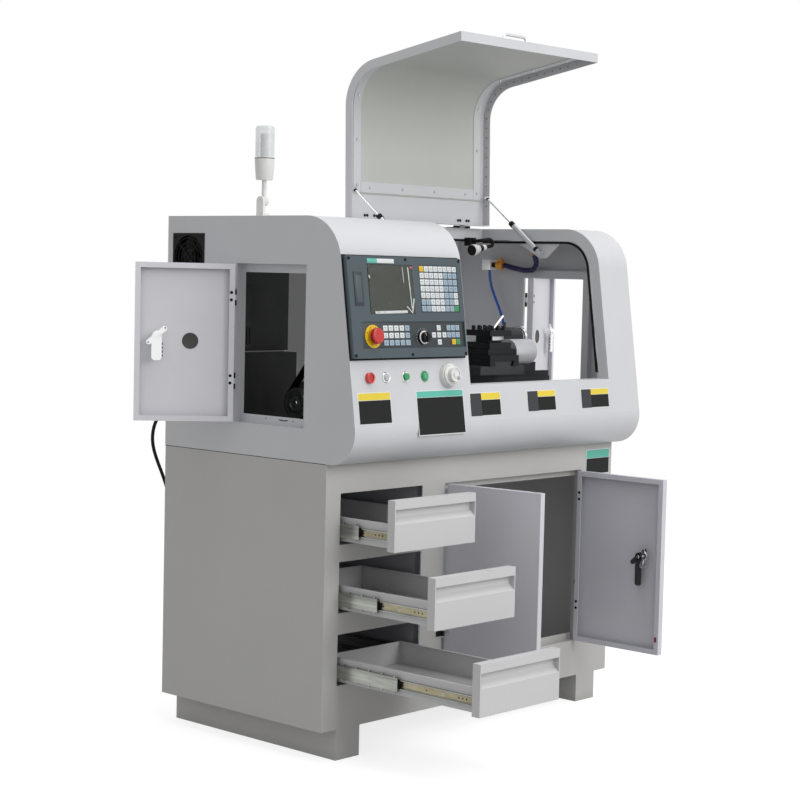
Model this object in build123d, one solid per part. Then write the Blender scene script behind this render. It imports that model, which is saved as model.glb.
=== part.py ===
from build123d import *
import os
from math import atan, atan2, cos, degrees, hypot, radians, sin, tan

# Benchtop CNC lathe. Working frame: X to the right along the front, Y to the back, Z up,
# x = 0 at the left side, y = 0 at the stand's front face, z = 0 on the floor. Millimetres.

# Overall
WIDTH = 1179.0
DEPTH = 617.0
TOP_Z = 1368.0
SEAM_Z = 753.0
SHEET = 2.0
GAP = 2.0

# Enclosure profile, seen from the side
SLOPE = 0.1447
SLOPE_Y = -37.1
SLOPE_Z = 1250.8
TOP_RADIUS = 122.0
LOW_RADIUS = 85.0

# Stand
BASE_Z = 79.0
PLINTH_INSET = 53.0
PLINTH_WIDTH = 85.0
PLINTH_WALL = 3.0
PLINTH_LENGTH = DEPTH - SHEET
STILE = 52.0
DRAWER_OPEN_WIDTH = 305.0
CUPBOARD_LEFT = 445.0
CUPBOARD_RIGHT = WIDTH - 142.0
CUPBOARD_LOW = 183.0
CUPBOARD_TOP = 678.0
FRAME_RETURN = 22.0
DOOR_STOP = 16.0
DOOR_THICK = 20.0

# Drawers: top, height and pull-out of each at rest
DRAWER_TOPS = [678.0, 505.0, 321.0]
DRAWER_HEIGHT = 129.0
DRAWER_PULLED = [185.0, 322.0, 470.0]
DRAWER_FRONT_THICK = 24.0
DRAWER_TRAY_HEIGHT = 60.0
DRAWER_WALL = 1.5
RAIL_LENGTH = DEPTH - 117.0
DRAWER_TRAY_LENGTH = RAIL_LENGTH
RAIL_HEIGHT = 45.0
RAIL_SPACE = 12.7
RAIL_LIFT = 14.0

# Service doors in the side panels
SERVICE_FRONT = 84.0
SERVICE_BACK = 342.0
SERVICE_LOW = 836.0
SERVICE_TOP = 1246.0
SERVICE_DEPTH = 22.0
SERVICE_THICK = 18.0
SERVICE_LEDGE = 22.0
SERVICE_HINGE_Z = [942.0, 1158.0]
LEFT_SERVICE_OPEN = 128.3
RIGHT_SERVICE_OPEN = 113.0
DOOR_LIP = 14.0
KNUCKLE = 4.0
PIN = 2.0
PIN_PLAY = 0.06
HINGE_LENGTH = 42.0

# Cupboard doors
LEFT_DOOR_OPEN = 84.1
RIGHT_DOOR_OPEN = 91.0
CUPBOARD_HINGE_Z = [290.0, 605.0]

# Work opening and lid
OPENING_LEFT = 443.0
OPENING_RIGHT = WIDTH - 135.0
OPENING_LOW = 944.0
OPENING_BACK = DEPTH - 213.0
FRAME_DEPTH = 40.0
LID_GAP = 6.0
LID_DEPTH = 25.0
LID_OPEN = 91.5
LID_HINGE_X = [OPENING_LEFT + 105.0, OPENING_RIGHT - 100.0]
LID_HINGE_LENGTH = 70.0
LID_KNUCKLE = 3.2
LID_PIN = 1.6
LID_LEAF = 24.0
WINDOW_SIDE = 45.0
WINDOW_BACK = 92.0
WINDOW_LOW = 28.0
WINDOW_THICK = 3.0
STRIP_WIDTH = 30.0
STRIP_THICK = 2.0
HANDLE_X = 705.0
HANDLE_PITCH = 96.0
HANDLE_HEIGHT = 26.0
HANDLE_BAR = 9.0

# Gas struts
STRUT_Y = 170.0
STRUT_Z = 1300.0
STRUT_INSET = 12.0
STRUT_LID_BACK = 88.0
STRUT_LID_DROP = 26.0
STRUT_RADIUS = 7.5
STRUT_BORE = 6.0
ROD_RADIUS = 3.0
STRUT_EYE = 5.0
STUD_RADIUS = 3.0
STRUT_EYE_WIDTH = 10.0
STRUT_BODY = 140.0

# Controls on the sloping front
PANEL_X = 215.0
PANEL_Z = 1143.5
PANEL_WIDE = 422.0
PANEL_HIGH = 254.0
PANEL_PROUD = 14.0
PANEL_BOX = 70.0
PANEL_MARGIN = 9.0
SCREEN = (156.5, 1188.0, 165.0, 123.0)
KEYPAD = (334.5, 1190.0, 147.0, 121.0)
LOWER_PANEL = (230.0, 1074.5, 382.0, 66.0)
POCKET = 4.0
ESTOP = (77.0, 1071.0)
ESTOP_RING = 29.0
ESTOP_HEAD = 20.0
ESTOP_STEM = 8.4
PLUNGER_PLAY = 0.1
FEED_SHAFT = 4.0
FEED_KNOB = (260.0, 1067.0)
BUTTON_Z = 970.5
BUTTON_X = [64.0, 125.0, 196.0, 267.0]
BUTTON_RADIUS = 11.0
BEZEL_RADIUS = 14.5
HANDWHEEL = (356.0, 970.0)
HANDWHEEL_BASE = 30.5
HANDWHEEL_RADIUS = 19.0
HANDWHEEL_SHAFT = 5.0

# Signal lamp on the roof
LAMP_X = 150.0
LAMP_Y = OPENING_BACK + 2.0
LAMP_RADIUS = 27.0
LAMP_TOP = 1612.0
LAMP_PIVOT_Z = 1412.0
LAMP_BASE_Z = 1470.0
LAMP_LENS_Z = 1525.0
LAMP_FOOT = 45.0

# Lathe
SPINDLE_Y = 240.0
SPINDLE_Z = 1052.0
BED_LEFT = 225.0
BED_RIGHT = WIDTH - 94.0
BED_WIDTH = 150.0
BED_TOP = 940.0
BED_HEIGHT = 100.0
WAY_HEIGHT = 15.0
WAY_WIDTH = 18.0
HEAD_LENGTH = 106.0
HEAD_WIDTH = 160.0
SPINDLE_RADIUS = 22.0
NOSE_RADIUS = 50.0
PULLEY_RADIUS = 55.0
CARRIAGE_X = BED_RIGHT - 340.0
CARRIAGE_LENGTH = 190.0
TAIL_X = BED_RIGHT - 110.0
TAIL_LENGTH = 85.0
QUILL_RADIUS = 14.0
TAIL_WHEEL_RADIUS = 31.0
TURRET_Y = 118.0
TURRET_SIZE = 92.0
TURRET_LOW = SPINDLE_Z - 26.0
TURRET_TOP = TURRET_LOW + 52.0
MOTOR_RADIUS = 35.0

# Electrics side
PARTITION_X = 437.0
PLATE_LOW = 1004.0
PLATE_LEFT = 40.0
PLATE_RIGHT = 425.0
PLATE_Y = DEPTH - 25.0
DRIVE_MOTOR = (DEPTH - 212.0, 870.0)
DRIVE_RADIUS = 62.0
MOTOR_PULLEY = 42.0
FAN_Y = DEPTH - 84.5
FAN_Z = 1259.5
FAN_SIZE = 127.0
FAN_DEPTH = 25.0

# Mains cord: route of the free stretch in this frame, then a coil behind the stand
CORD_RADIUS = 4.75
GLAND_X = 60.0
GLAND_Z = 842.0
GLAND_LENGTH = 34.0


def block(x0, x1, y0, y1, z0, z1):
    """A box between two corners."""
    return Pos((x0 + x1) / 2, (y0 + y1) / 2, (z0 + z1) / 2) * Box(x1 - x0, y1 - y0, z1 - z0)


def bar_x(radius, x0, x1, y, z):
    """A cylinder along X."""
    return Pos((x0 + x1) / 2, y, z) * Rot(0, 90, 0) * Cylinder(radius, x1 - x0)


def bar_y(radius, y0, y1, x, z):
    """A cylinder along Y."""
    return Pos(x, (y0 + y1) / 2, z) * Rot(90, 0, 0) * Cylinder(radius, y1 - y0)


def bar_z(radius, z0, z1, x, y):
    """A cylinder along Z."""
    return Pos(x, y, (z0 + z1) / 2) * Cylinder(radius, z1 - z0)


def turned(part, axis_point, axis, angle):
    """The part turned about an axis through a point."""
    return part.rotate(Axis(axis_point, axis), angle)


def solids_of(*parts):
    """All the solids of some parts, as one flat list."""
    return [solid for part in parts for solid in part.solids()]


def slope_y(z):
    """Depth of the sloping front at a height."""
    return SLOPE_Y - (SLOPE_Z - z) * SLOPE


BACK_IN = DEPTH - SHEET


def outline(inset=0.0):
    """Side profile of the enclosure in the YZ plane, moved inwards by an inset."""
    corners = [(BACK_IN, SEAM_Z), (BACK_IN, TOP_Z), (slope_y(TOP_Z), TOP_Z), (slope_y(SEAM_Z), SEAM_Z)]
    face = make_face(Polyline(*corners, close=True))
    for corner, radius in ((corners[3], LOW_RADIUS), (corners[2], TOP_RADIUS)):
        vertex = face.vertices().sort_by_distance((corner[0], corner[1], 0))[0]
        face = fillet(vertex, radius)
    if inset:
        face = offset(face, -inset)
    return face


def slab(face, x0, x1):
    """A YZ profile carried along X."""
    return extrude(Plane.YZ.offset(x0) * face, amount=x1 - x0)


def shell_band(inset0, inset1, x0, x1):
    """The band between two insets of the side profile."""
    return slab(outline(inset0), x0, x1) - slab(outline(inset1), x0, x1)


SLANT = atan(SLOPE)


def on_front(x, z, proud=0.0):
    """A place on the sloping front, local Z pointing out of it and local Y up it."""
    normal = (0, -cos(SLANT), sin(SLANT))
    origin = (x, slope_y(z) + normal[1] * proud, z + normal[2] * proud)
    return Plane(origin=origin, x_dir=(1, 0, 0), z_dir=normal).location


def front_box(x, z, wide, high, low, top):
    """A box on the sloping front between two heights above it."""
    return on_front(x, z) * Pos(0, 0, (low + top) / 2) * Box(wide, high, top - low)


def front_disc(x, z, radius, low, top):
    """A disc on the sloping front between two heights above it."""
    return on_front(x, z) * Pos(0, 0, (low + top) / 2) * Cylinder(radius, top - low)


# Stand: folded sheet panels welded round a front frame, on two plinths

DRAWER_LEFT = STILE
DRAWER_RIGHT = STILE + DRAWER_OPEN_WIDTH


def stand_side_panels():
    """Side panels with a folded return at the front and at the back."""
    back_lip = block(SHEET, FRAME_RETURN, BACK_IN - SHEET, BACK_IN, BASE_Z + SHEET, SEAM_Z - SHEET)
    left = block(0, SHEET, 0, BACK_IN, BASE_Z, SEAM_Z) + back_lip
    right = mirror(left, Plane.YZ.offset(WIDTH / 2))
    return [left, right]


def stand_front_frame():
    """One sheet with three drawer openings and the cupboard opening, each with folded returns."""
    frame = block(SHEET, WIDTH - SHEET, 0, SHEET, BASE_Z, SEAM_Z)
    for top in DRAWER_TOPS:
        low = top - DRAWER_HEIGHT - GAP / 2
        frame -= block(DRAWER_LEFT, DRAWER_RIGHT, -1, SHEET + 1, low, top)
        for z in (low - SHEET, top):
            frame += block(DRAWER_LEFT, DRAWER_RIGHT, 0, FRAME_RETURN, z, z + SHEET)
    frame -= block(CUPBOARD_LEFT, CUPBOARD_RIGHT, -1, SHEET + 1, CUPBOARD_LOW, CUPBOARD_TOP)
    deep = DOOR_THICK + SHEET * 2
    for z, lip_low, lip_high in ((CUPBOARD_LOW - SHEET, CUPBOARD_LOW, CUPBOARD_LOW + DOOR_STOP),
                                 (CUPBOARD_TOP, CUPBOARD_TOP - DOOR_STOP, CUPBOARD_TOP)):
        frame += block(CUPBOARD_LEFT, CUPBOARD_RIGHT, 0, deep, z, z + SHEET)
        frame += block(CUPBOARD_LEFT, CUPBOARD_RIGHT, deep - SHEET, deep, lip_low - SHEET, lip_high + SHEET)
    for x in (CUPBOARD_LEFT - SHEET, CUPBOARD_RIGHT):
        frame += block(x, x + SHEET, 0, deep, CUPBOARD_LOW - SHEET, CUPBOARD_TOP + SHEET)
    frame -= bar_z(BOLT_RADIUS + 2 * BOLT_PLAY, CUPBOARD_TOP - 1, CUPBOARD_TOP + 3, BOLT_X, BOLT_Y)
    return [frame]


def stand_inner_panels():
    """Floor, top deck and the divider that carries the drawer rails on its left face."""
    floor = block(SHEET, WIDTH - SHEET, SHEET, BACK_IN - SHEET, BASE_Z, BASE_Z + SHEET)
    deck = block(SHEET, WIDTH - SHEET, SHEET, BACK_IN, SEAM_Z - SHEET, SEAM_Z)
    x0 = DRAWER_RIGHT + SHEET
    divider = block(x0, x0 + SHEET, FRAME_RETURN + 3, BACK_IN - SHEET, BASE_Z + SHEET, SEAM_Z - SHEET)
    divider += block(x0, x0 + FRAME_RETURN, FRAME_RETURN + 3, FRAME_RETURN + 3 + SHEET,
                     BASE_Z + SHEET, SEAM_Z - SHEET)
    post_x = DRAWER_LEFT - SHEET
    post = block(post_x - SHEET, post_x, FRAME_RETURN + 3, BACK_IN - SHEET, BASE_Z + SHEET, SEAM_Z - SHEET)
    post += block(post_x - FRAME_RETURN, post_x, FRAME_RETURN + 3, FRAME_RETURN + 3 + SHEET,
                  BASE_Z + SHEET, SEAM_Z - SHEET)
    return [floor, deck, divider, post]


def stand_plinths():
    """Two closed-front channel plinths that the stand rests on."""
    left = block(PLINTH_INSET, PLINTH_INSET + PLINTH_WIDTH, 0, PLINTH_LENGTH, 0, BASE_Z)
    wall = PLINTH_WALL
    left -= block(PLINTH_INSET + wall, PLINTH_INSET + PLINTH_WIDTH - wall, wall, PLINTH_LENGTH + 1,
                  wall, BASE_Z - wall)
    return [left, mirror(left, Plane.YZ.offset(WIDTH / 2))]


LOUVRES = 8
LOUVRE_X = 120.0
LOUVRE_Z = 1090.0
LOUVRE_PITCH = 22.0
LOUVRE_LENGTH = 120.0
LOUVRE_PROUD = 5.0


def back_panels():
    """Stand back and enclosure back, with pressed louvres beside the electrics, and the cord gland."""
    stand = block(SHEET, WIDTH - SHEET, BACK_IN, DEPTH, BASE_Z, SEAM_Z - 1)
    upper = block(0, WIDTH, BACK_IN, DEPTH, SEAM_Z, TOP_Z)
    left, right = LOUVRE_X, LOUVRE_X + LOUVRE_LENGTH
    for row in range(LOUVRES):
        z = LOUVRE_Z + row * LOUVRE_PITCH
        upper -= block(left, right, BACK_IN - 1, DEPTH + 1, z, z + 6)
        hood = block(left - SHEET, right + SHEET, DEPTH, DEPTH + LOUVRE_PROUD, z + 2, z + 10)
        hood -= block(left, right, DEPTH - 1, DEPTH + LOUVRE_PROUD - SHEET, z - 1, z + 8)
        upper += hood
    upper -= bar_y(10.2, BACK_IN - 1, DEPTH + 1, GLAND_X, GLAND_Z)
    gland = bar_y(10.0, BACK_IN - 12, DEPTH, GLAND_X, GLAND_Z)
    nut = Pos(GLAND_X, DEPTH + 5, GLAND_Z) * Rot(90, 0, 0) * extrude(RegularPolygon(15, 6), 5, both=True)
    gland += nut
    gland += Pos(GLAND_X, DEPTH + 10, GLAND_Z) * Rot(-90, 0, 0) * Cone(
        13, 7.5, GLAND_LENGTH - 10, align=(Align.CENTER, Align.CENTER, Align.MIN))
    gland -= bar_y(CORD_RADIUS, BACK_IN - 13, DEPTH + GLAND_LENGTH + 1, GLAND_X, GLAND_Z)
    return [stand, upper, gland]


# Drawers on three-part ball-bearing slides

def rail_profile(height, web, depth, wall, inward):
    """A C section in the XZ plane, its web at x = 0 and its lips pointing along +X or -X."""
    face = Pos(inward * depth / 2, 0) * Rectangle(depth, height)
    face -= Pos(inward * (depth / 2 + web), 0) * Rectangle(depth, height - 2 * wall)
    return face


def along_y(face, x, z, y0, y1):
    """An XZ section carried along Y."""
    plane = Plane(origin=(x, y1, z), x_dir=(1, 0, 0), z_dir=(0, -1, 0))
    return extrude(plane * face, amount=y1 - y0)


RAIL_WALL = 1.5
OUTER_DEPTH = RAIL_SPACE
MIDDLE_HEIGHT = RAIL_HEIGHT - 2 * RAIL_WALL - 8
INNER_HEIGHT = MIDDLE_HEIGHT - 2 * RAIL_WALL - 8
RAIL_FRONT = DRAWER_FRONT_THICK + GAP + 2


def drawer_z(number):
    """Lowest height of a drawer's front."""
    return DRAWER_TOPS[number] - DRAWER_HEIGHT


def rail_z(number):
    """Middle height of a drawer's rails."""
    return drawer_z(number) + RAIL_LIFT + RAIL_HEIGHT / 2


BALLS = 12
BALL_SPACE = 3.7
BALL_END = 12.0
SIDES = ((DRAWER_LEFT - SHEET, 1), (DRAWER_RIGHT + SHEET, -1))


def ball_rows(x, z, half, y0, y1):
    """Two rows of ball carriers, above and below a rail, filling the space to the rail round it."""
    rows = []
    for ball in range(BALLS):
        y = y0 + ball * (y1 - y0) / (BALLS - 1)
        for side in (-1, 1):
            rows.append(Pos(x, y, z + side * (half + BALL_SPACE / 2)) * Box(3.6, 5, BALL_SPACE))
    return rows


def drawer_outer_rails():
    """Six fixed rails, screwed to the post and the divider."""
    rails = []
    for number in range(len(DRAWER_TOPS)):
        for x, way in SIDES:
            face = rail_profile(RAIL_HEIGHT, RAIL_WALL, OUTER_DEPTH - 2, RAIL_WALL, way)
            rails.append(along_y(face, x, rail_z(number), RAIL_FRONT, RAIL_FRONT + RAIL_LENGTH))
    return rails


def drawer_middle_rails(number):
    """Two middle rails with their ball cages, half as far out as the drawer."""
    rails = []
    start = RAIL_FRONT - DRAWER_PULLED[number] / 2
    for x, way in SIDES:
        web_x = x + way * (RAIL_WALL + 1.0)
        face = rail_profile(MIDDLE_HEIGHT, RAIL_WALL, OUTER_DEPTH - 5, RAIL_WALL, way)
        rail = along_y(face, web_x, rail_z(number), start, start + RAIL_LENGTH)
        rails.append(rail + ball_rows(web_x + way * 4, rail_z(number), MIDDLE_HEIGHT / 2,
                                      start + BALL_END, start + RAIL_LENGTH - BALL_END))
    return rails


def drawer_tray(number):
    """Tray, finger-pull front and two inner rails of one drawer, at its rest pull-out."""
    y0 = -DRAWER_PULLED[number]
    z0 = drawer_z(number)
    left = DRAWER_LEFT - SHEET + RAIL_SPACE + SHEET
    right = DRAWER_RIGHT + SHEET - RAIL_SPACE - SHEET
    tray_y = y0 + DRAWER_FRONT_THICK
    tray_z = z0 + 8
    tray = block(left, right, tray_y, tray_y + DRAWER_TRAY_LENGTH, tray_z, tray_z + DRAWER_TRAY_HEIGHT)
    wall = DRAWER_WALL
    tray -= block(left + wall, right - wall, tray_y + wall, tray_y + DRAWER_TRAY_LENGTH - wall,
                  tray_z + wall, tray_z + DRAWER_TRAY_HEIGHT + 1)
    for x, way in ((left, 1), (right, -1)):
        tray += block(min(x, x + way * 7), max(x, x + way * 7), tray_y, tray_y + DRAWER_TRAY_LENGTH,
                      tray_z + DRAWER_TRAY_HEIGHT - wall, tray_z + DRAWER_TRAY_HEIGHT)
    # Front seen from its end: flat lower face, a hollow for the fingers, and an upper lip
    thick = DRAWER_FRONT_THICK
    high = DRAWER_HEIGHT - GAP
    section = [(0, 0), (0, 68), (16, 84), (16, high - 24), (0, high - 22), (0, high), (thick, high),
               (thick, 0)]
    face = make_face(Polyline(*section, close=True))
    plane = Plane(origin=(DRAWER_LEFT + GAP, y0, z0 + GAP / 2), x_dir=(0, 1, 0), z_dir=(1, 0, 0))
    front = extrude(plane * face, amount=DRAWER_OPEN_WIDTH - 2 * GAP)
    ends = Polyline((0, 68), (0, high - 22), (16, high - 24), (16, 84), close=True)
    cheek = make_face(ends)
    for x in (DRAWER_LEFT + GAP, DRAWER_RIGHT - GAP - 3):
        side = Plane(origin=(x, y0, z0 + GAP / 2), x_dir=(0, 1, 0), z_dir=(1, 0, 0))
        front += extrude(side * cheek, amount=3)
    inner = []
    for x, way in SIDES:
        edge = x + way * (RAIL_SPACE + SHEET)
        face = rail_profile(INNER_HEIGHT, RAIL_WALL, OUTER_DEPTH - 6, RAIL_WALL, -way)
        end = tray_y + RAIL_LENGTH - 10
        rail = along_y(face, edge, rail_z(number), tray_y + 2, end)
        rear = end - RAIL_LENGTH / 2 + BALL_END
        rows = ball_rows(edge - way * 5, rail_z(number), INNER_HEIGHT / 2, rear, end - BALL_END)
        inner.append(rail + rows)
    return [tray, front] + inner


# Pan-shaped doors: an outer skin, four folded rims and an inner lip

def pan_door(wide, high, thick, lip):
    """Pan with its skin at y = 0 to SHEET, open inner side towards +Y, lower left corner at the origin."""
    door = block(0, wide, 0, thick, 0, high)
    door -= block(SHEET, wide - SHEET, SHEET, thick - SHEET, SHEET, high - SHEET)
    door -= block(lip, wide - lip, SHEET, thick + 1, lip, high - lip)
    return door


def knuckles(x, y, z, length, radius, ends):
    """Hinge knuckles on a vertical axis: the two end thirds, or the middle third."""
    third = length / 3
    if ends:
        spans = [(z - length / 2, z - third / 2 - 0.2), (z + third / 2 + 0.2, z + length / 2)]
    else:
        spans = [(z - third / 2 + 0.2, z + third / 2 - 0.2)]
    return [bar_z(radius, low, top, x, y) for low, top in spans]


DOOR_WIDTH = (CUPBOARD_RIGHT - CUPBOARD_LEFT) / 2 - 1.5 * GAP
BOLT_RADIUS = 3.5
BOLT_PLAY = 0.5
BOLT_X = CUPBOARD_LEFT + GAP + DOOR_WIDTH - DOOR_LIP - 8
BOLT_Y = DOOR_THICK / 2
BOLT_LENGTH = 80.0
BOLT_TOP = CUPBOARD_TOP - GAP - 4
BOLT_GUIDES = (48.0, 20.0)
GUIDE_HEIGHT = 8.0
DOOR_HEIGHT = CUPBOARD_TOP - CUPBOARD_LOW - 2 * GAP
CUPBOARD_AXIS_Y = -KNUCKLE - 0.3
LEFT_AXIS = (CUPBOARD_LEFT + 1, CUPBOARD_AXIS_Y)
RIGHT_AXIS = (CUPBOARD_RIGHT - 1, CUPBOARD_AXIS_Y)


def door_with_knuckles(door, axis_x, axis_y, heights, leaf_x0, leaf_x1):
    """Adds bored middle knuckles and their leaves to a closed door's outer face."""
    for z in heights:
        leaf = block(min(leaf_x0, leaf_x1), max(leaf_x0, leaf_x1), -SHEET, 0, z - 7 + 0.4, z + 7 - 0.4)
        door += leaf
        for knuckle in knuckles(axis_x, axis_y, z, HINGE_LENGTH, KNUCKLE, False):
            door += knuckle
        door -= bar_z(PIN + PIN_PLAY, z - HINGE_LENGTH, z + HINGE_LENGTH, axis_x, axis_y)
    return door


def cupboard_left_door():
    """Left cupboard door, made closed and turned to its rest opening."""
    pan = pan_door(DOOR_WIDTH, DOOR_HEIGHT, DOOR_THICK - 1, DOOR_LIP)
    door = Pos(CUPBOARD_LEFT + GAP, 0, CUPBOARD_LOW + GAP) * pan
    for drop in BOLT_GUIDES:
        low = BOLT_TOP - drop
        door += block(BOLT_X - 8, BOLT_X + 6, SHEET, DOOR_THICK - 4, low, low + GUIDE_HEIGHT)
    door -= bar_z(BOLT_RADIUS + BOLT_PLAY, BOLT_TOP - BOLT_LENGTH, CUPBOARD_TOP, BOLT_X, BOLT_Y)
    door = door_with_knuckles(door, *LEFT_AXIS, CUPBOARD_HINGE_Z, LEFT_AXIS[0], CUPBOARD_LEFT + 22)
    return [turned(door, (*LEFT_AXIS, 0), (0, 0, 1), -LEFT_DOOR_OPEN)]


LOCK_X = CUPBOARD_RIGHT - DOOR_WIDTH + 70
LOCK_Z = 455.0
LOCK_RADIUS = 9.0
CAM_THICK = 3.0
CUPBOARD_CAM = (82.0, 20.0)
SERVICE_CAM = (64.0, 26.0)
KEY_SLOT = (2.0, 8.0)
EAR_SPAN = 66.0
EAR_WIDE = 13.0
EAR_TILT = 41.0


def cupboard_right_door():
    """Right cupboard door with a bore for its lock, made closed and turned to its rest opening."""
    left = CUPBOARD_RIGHT - GAP - DOOR_WIDTH
    door = Pos(left, 0, CUPBOARD_LOW + GAP) * pan_door(DOOR_WIDTH, DOOR_HEIGHT, DOOR_THICK - 1, DOOR_LIP)
    door -= bar_y(LOCK_RADIUS + 0.3, -1, SHEET + 1, LOCK_X, LOCK_Z)
    door = door_with_knuckles(door, *RIGHT_AXIS, CUPBOARD_HINGE_Z, RIGHT_AXIS[0], CUPBOARD_RIGHT - 22)
    return [turned(door, (*RIGHT_AXIS, 0), (0, 0, 1), RIGHT_DOOR_OPEN)]


def cam_lock(x, z, barrel, deep, reach, tail_wide):
    """Lock barrel through a skin at y = 0, with an eared cam on its inner end pointing down."""
    lock = bar_y(barrel, -2.5, deep, x, z)
    lock += bar_y(barrel + 2, -4.5, -0.3, x, z)
    wide, high = KEY_SLOT
    lock -= block(x - wide / 2, x + wide / 2, -5, -2.5, z - high / 2, z + high / 2)
    cam = block(x - tail_wide / 2, x + tail_wide / 2, deep, deep + CAM_THICK, z - reach, z)
    cam = fillet(cam.edges().filter_by(Axis.Y).group_by(Axis.Z)[0], tail_wide / 3)
    cam += bar_y(barrel + 2, deep, deep + CAM_THICK, x, z)
    slot = extrude(SlotOverall(EAR_SPAN, EAR_WIDE), CAM_THICK / 2, both=True)
    ear = Rot(0, EAR_TILT, 0) * Rot(90, 0, 0) * slot
    return lock + cam + Pos(x, deep + CAM_THICK / 2, z) * ear


def cupboard_lock_cam():
    """Lock of the right cupboard door, at its rest opening."""
    lock = cam_lock(LOCK_X, LOCK_Z, LOCK_RADIUS, DOOR_THICK, *CUPBOARD_CAM)
    return [turned(lock, (*RIGHT_AXIS, 0), (0, 0, 1), RIGHT_DOOR_OPEN)]


def cupboard_door_bolt():
    """Slide bolt in its two guides behind the left door, with its finger pin."""
    low = BOLT_TOP - BOLT_LENGTH
    bolt = bar_z(BOLT_RADIUS, low, BOLT_TOP, BOLT_X, BOLT_Y)
    bolt += bar_y(2.5, BOLT_Y, DOOR_THICK + 8, BOLT_X, low + 10)
    return [turned(bolt, (*LEFT_AXIS, 0), (0, 0, 1), -LEFT_DOOR_OPEN)]


def hinge_leaves():
    """Fixed leaves with their pins: cupboard doors, service doors and lid."""
    leaves = []
    for (x, y), edge in ((LEFT_AXIS, CUPBOARD_LEFT - 22), (RIGHT_AXIS, CUPBOARD_RIGHT + 22)):
        for z in CUPBOARD_HINGE_Z:
            half = HINGE_LENGTH / 2
            leaf = block(min(x, edge), max(x, edge), -SHEET, 0, z - half, z + half)
            leaf -= block(x - 8, x + 8, -SHEET - 9, 1, z - 7 - 0.2, z + 7 + 0.2)
            for knuckle in knuckles(x, y, z, HINGE_LENGTH, KNUCKLE, True):
                leaf += knuckle
            leaf += bar_z(PIN, z - half, z + half, x, y)
            leaves.append(leaf)
    for x_face, way in ((0, -1), (WIDTH, 1)):
        x = x_face + way * (KNUCKLE + 0.3)
        y = SERVICE_BACK
        for z in SERVICE_HINGE_Z:
            half = HINGE_LENGTH / 2
            xs = sorted((x_face, x_face + way * SHEET))
            leaf = block(xs[0], xs[1], y, y + 22, z - half, z + half)
            leaf -= block(xs[0] - 9, xs[1] + 9, y - 9, y + 8, z - 7 - 0.2, z + 7 + 0.2)
            for knuckle in knuckles(x, y, z, HINGE_LENGTH, KNUCKLE, True):
                leaf += knuckle
            leaf += bar_z(PIN, z - half, z + half, x, y)
            leaves.append(leaf)
    for x in LID_HINGE_X:
        half = LID_HINGE_LENGTH / 2
        third = LID_HINGE_LENGTH / 6
        leaf = block(x - half, x + half, LID_AXIS_Y, LID_AXIS_Y + LID_LEAF + 4, TOP_Z, TOP_Z + SHEET)
        leaf -= block(x - third - 0.2, x + third + 0.2, LID_AXIS_Y - 1, LID_AXIS_Y + 6, TOP_Z - 1, TOP_Z + 9)
        for x0, x1 in ((x - half, x - third - 0.2), (x + third + 0.2, x + half)):
            leaf += bar_x(LID_KNUCKLE, x0, x1, LID_AXIS_Y, LID_AXIS_Z)
        leaf += bar_x(LID_PIN, x - half, x + half, LID_AXIS_Y, LID_AXIS_Z)
        leaves.append(leaf)
    return leaves


# Enclosure

LID_AXIS_Y = OPENING_BACK - 4.0
LID_AXIS_Z = TOP_Z + LID_KNUCKLE + 0.3


def service_recess(panel):
    """Adds the stepped door recess to a left side panel."""
    pan = block(SHEET, SERVICE_DEPTH, SERVICE_FRONT - SHEET, SERVICE_BACK + SHEET,
                SERVICE_LOW - SHEET, SERVICE_TOP + SHEET)
    panel += pan
    panel -= block(-1, SERVICE_DEPTH - SHEET, SERVICE_FRONT, SERVICE_BACK, SERVICE_LOW, SERVICE_TOP)
    panel -= block(-1, SERVICE_DEPTH + 1, SERVICE_FRONT + SERVICE_LEDGE, SERVICE_BACK - SERVICE_LEDGE + 10,
                   SERVICE_LOW + SERVICE_LEDGE, SERVICE_TOP - SERVICE_LEDGE)
    return panel


def enclosure_left_panel():
    """Left side panel with the service door recess and the fan opening."""
    panel = service_recess(slab(outline(), 0, SHEET))
    half = FAN_SIZE / 2
    panel -= block(-1, SHEET + 1, FAN_Y - half, FAN_Y + half, FAN_Z - half, FAN_Z + half)
    return [panel]


def enclosure_right_panel():
    """Right side panel, the mirror of the left one without the fan opening."""
    panel = service_recess(slab(outline(), 0, SHEET))
    return [mirror(panel, Plane.YZ.offset(WIDTH / 2))]


BRACKET_FRONT = 106.0
BRACKET_BACK = 262.0


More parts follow.
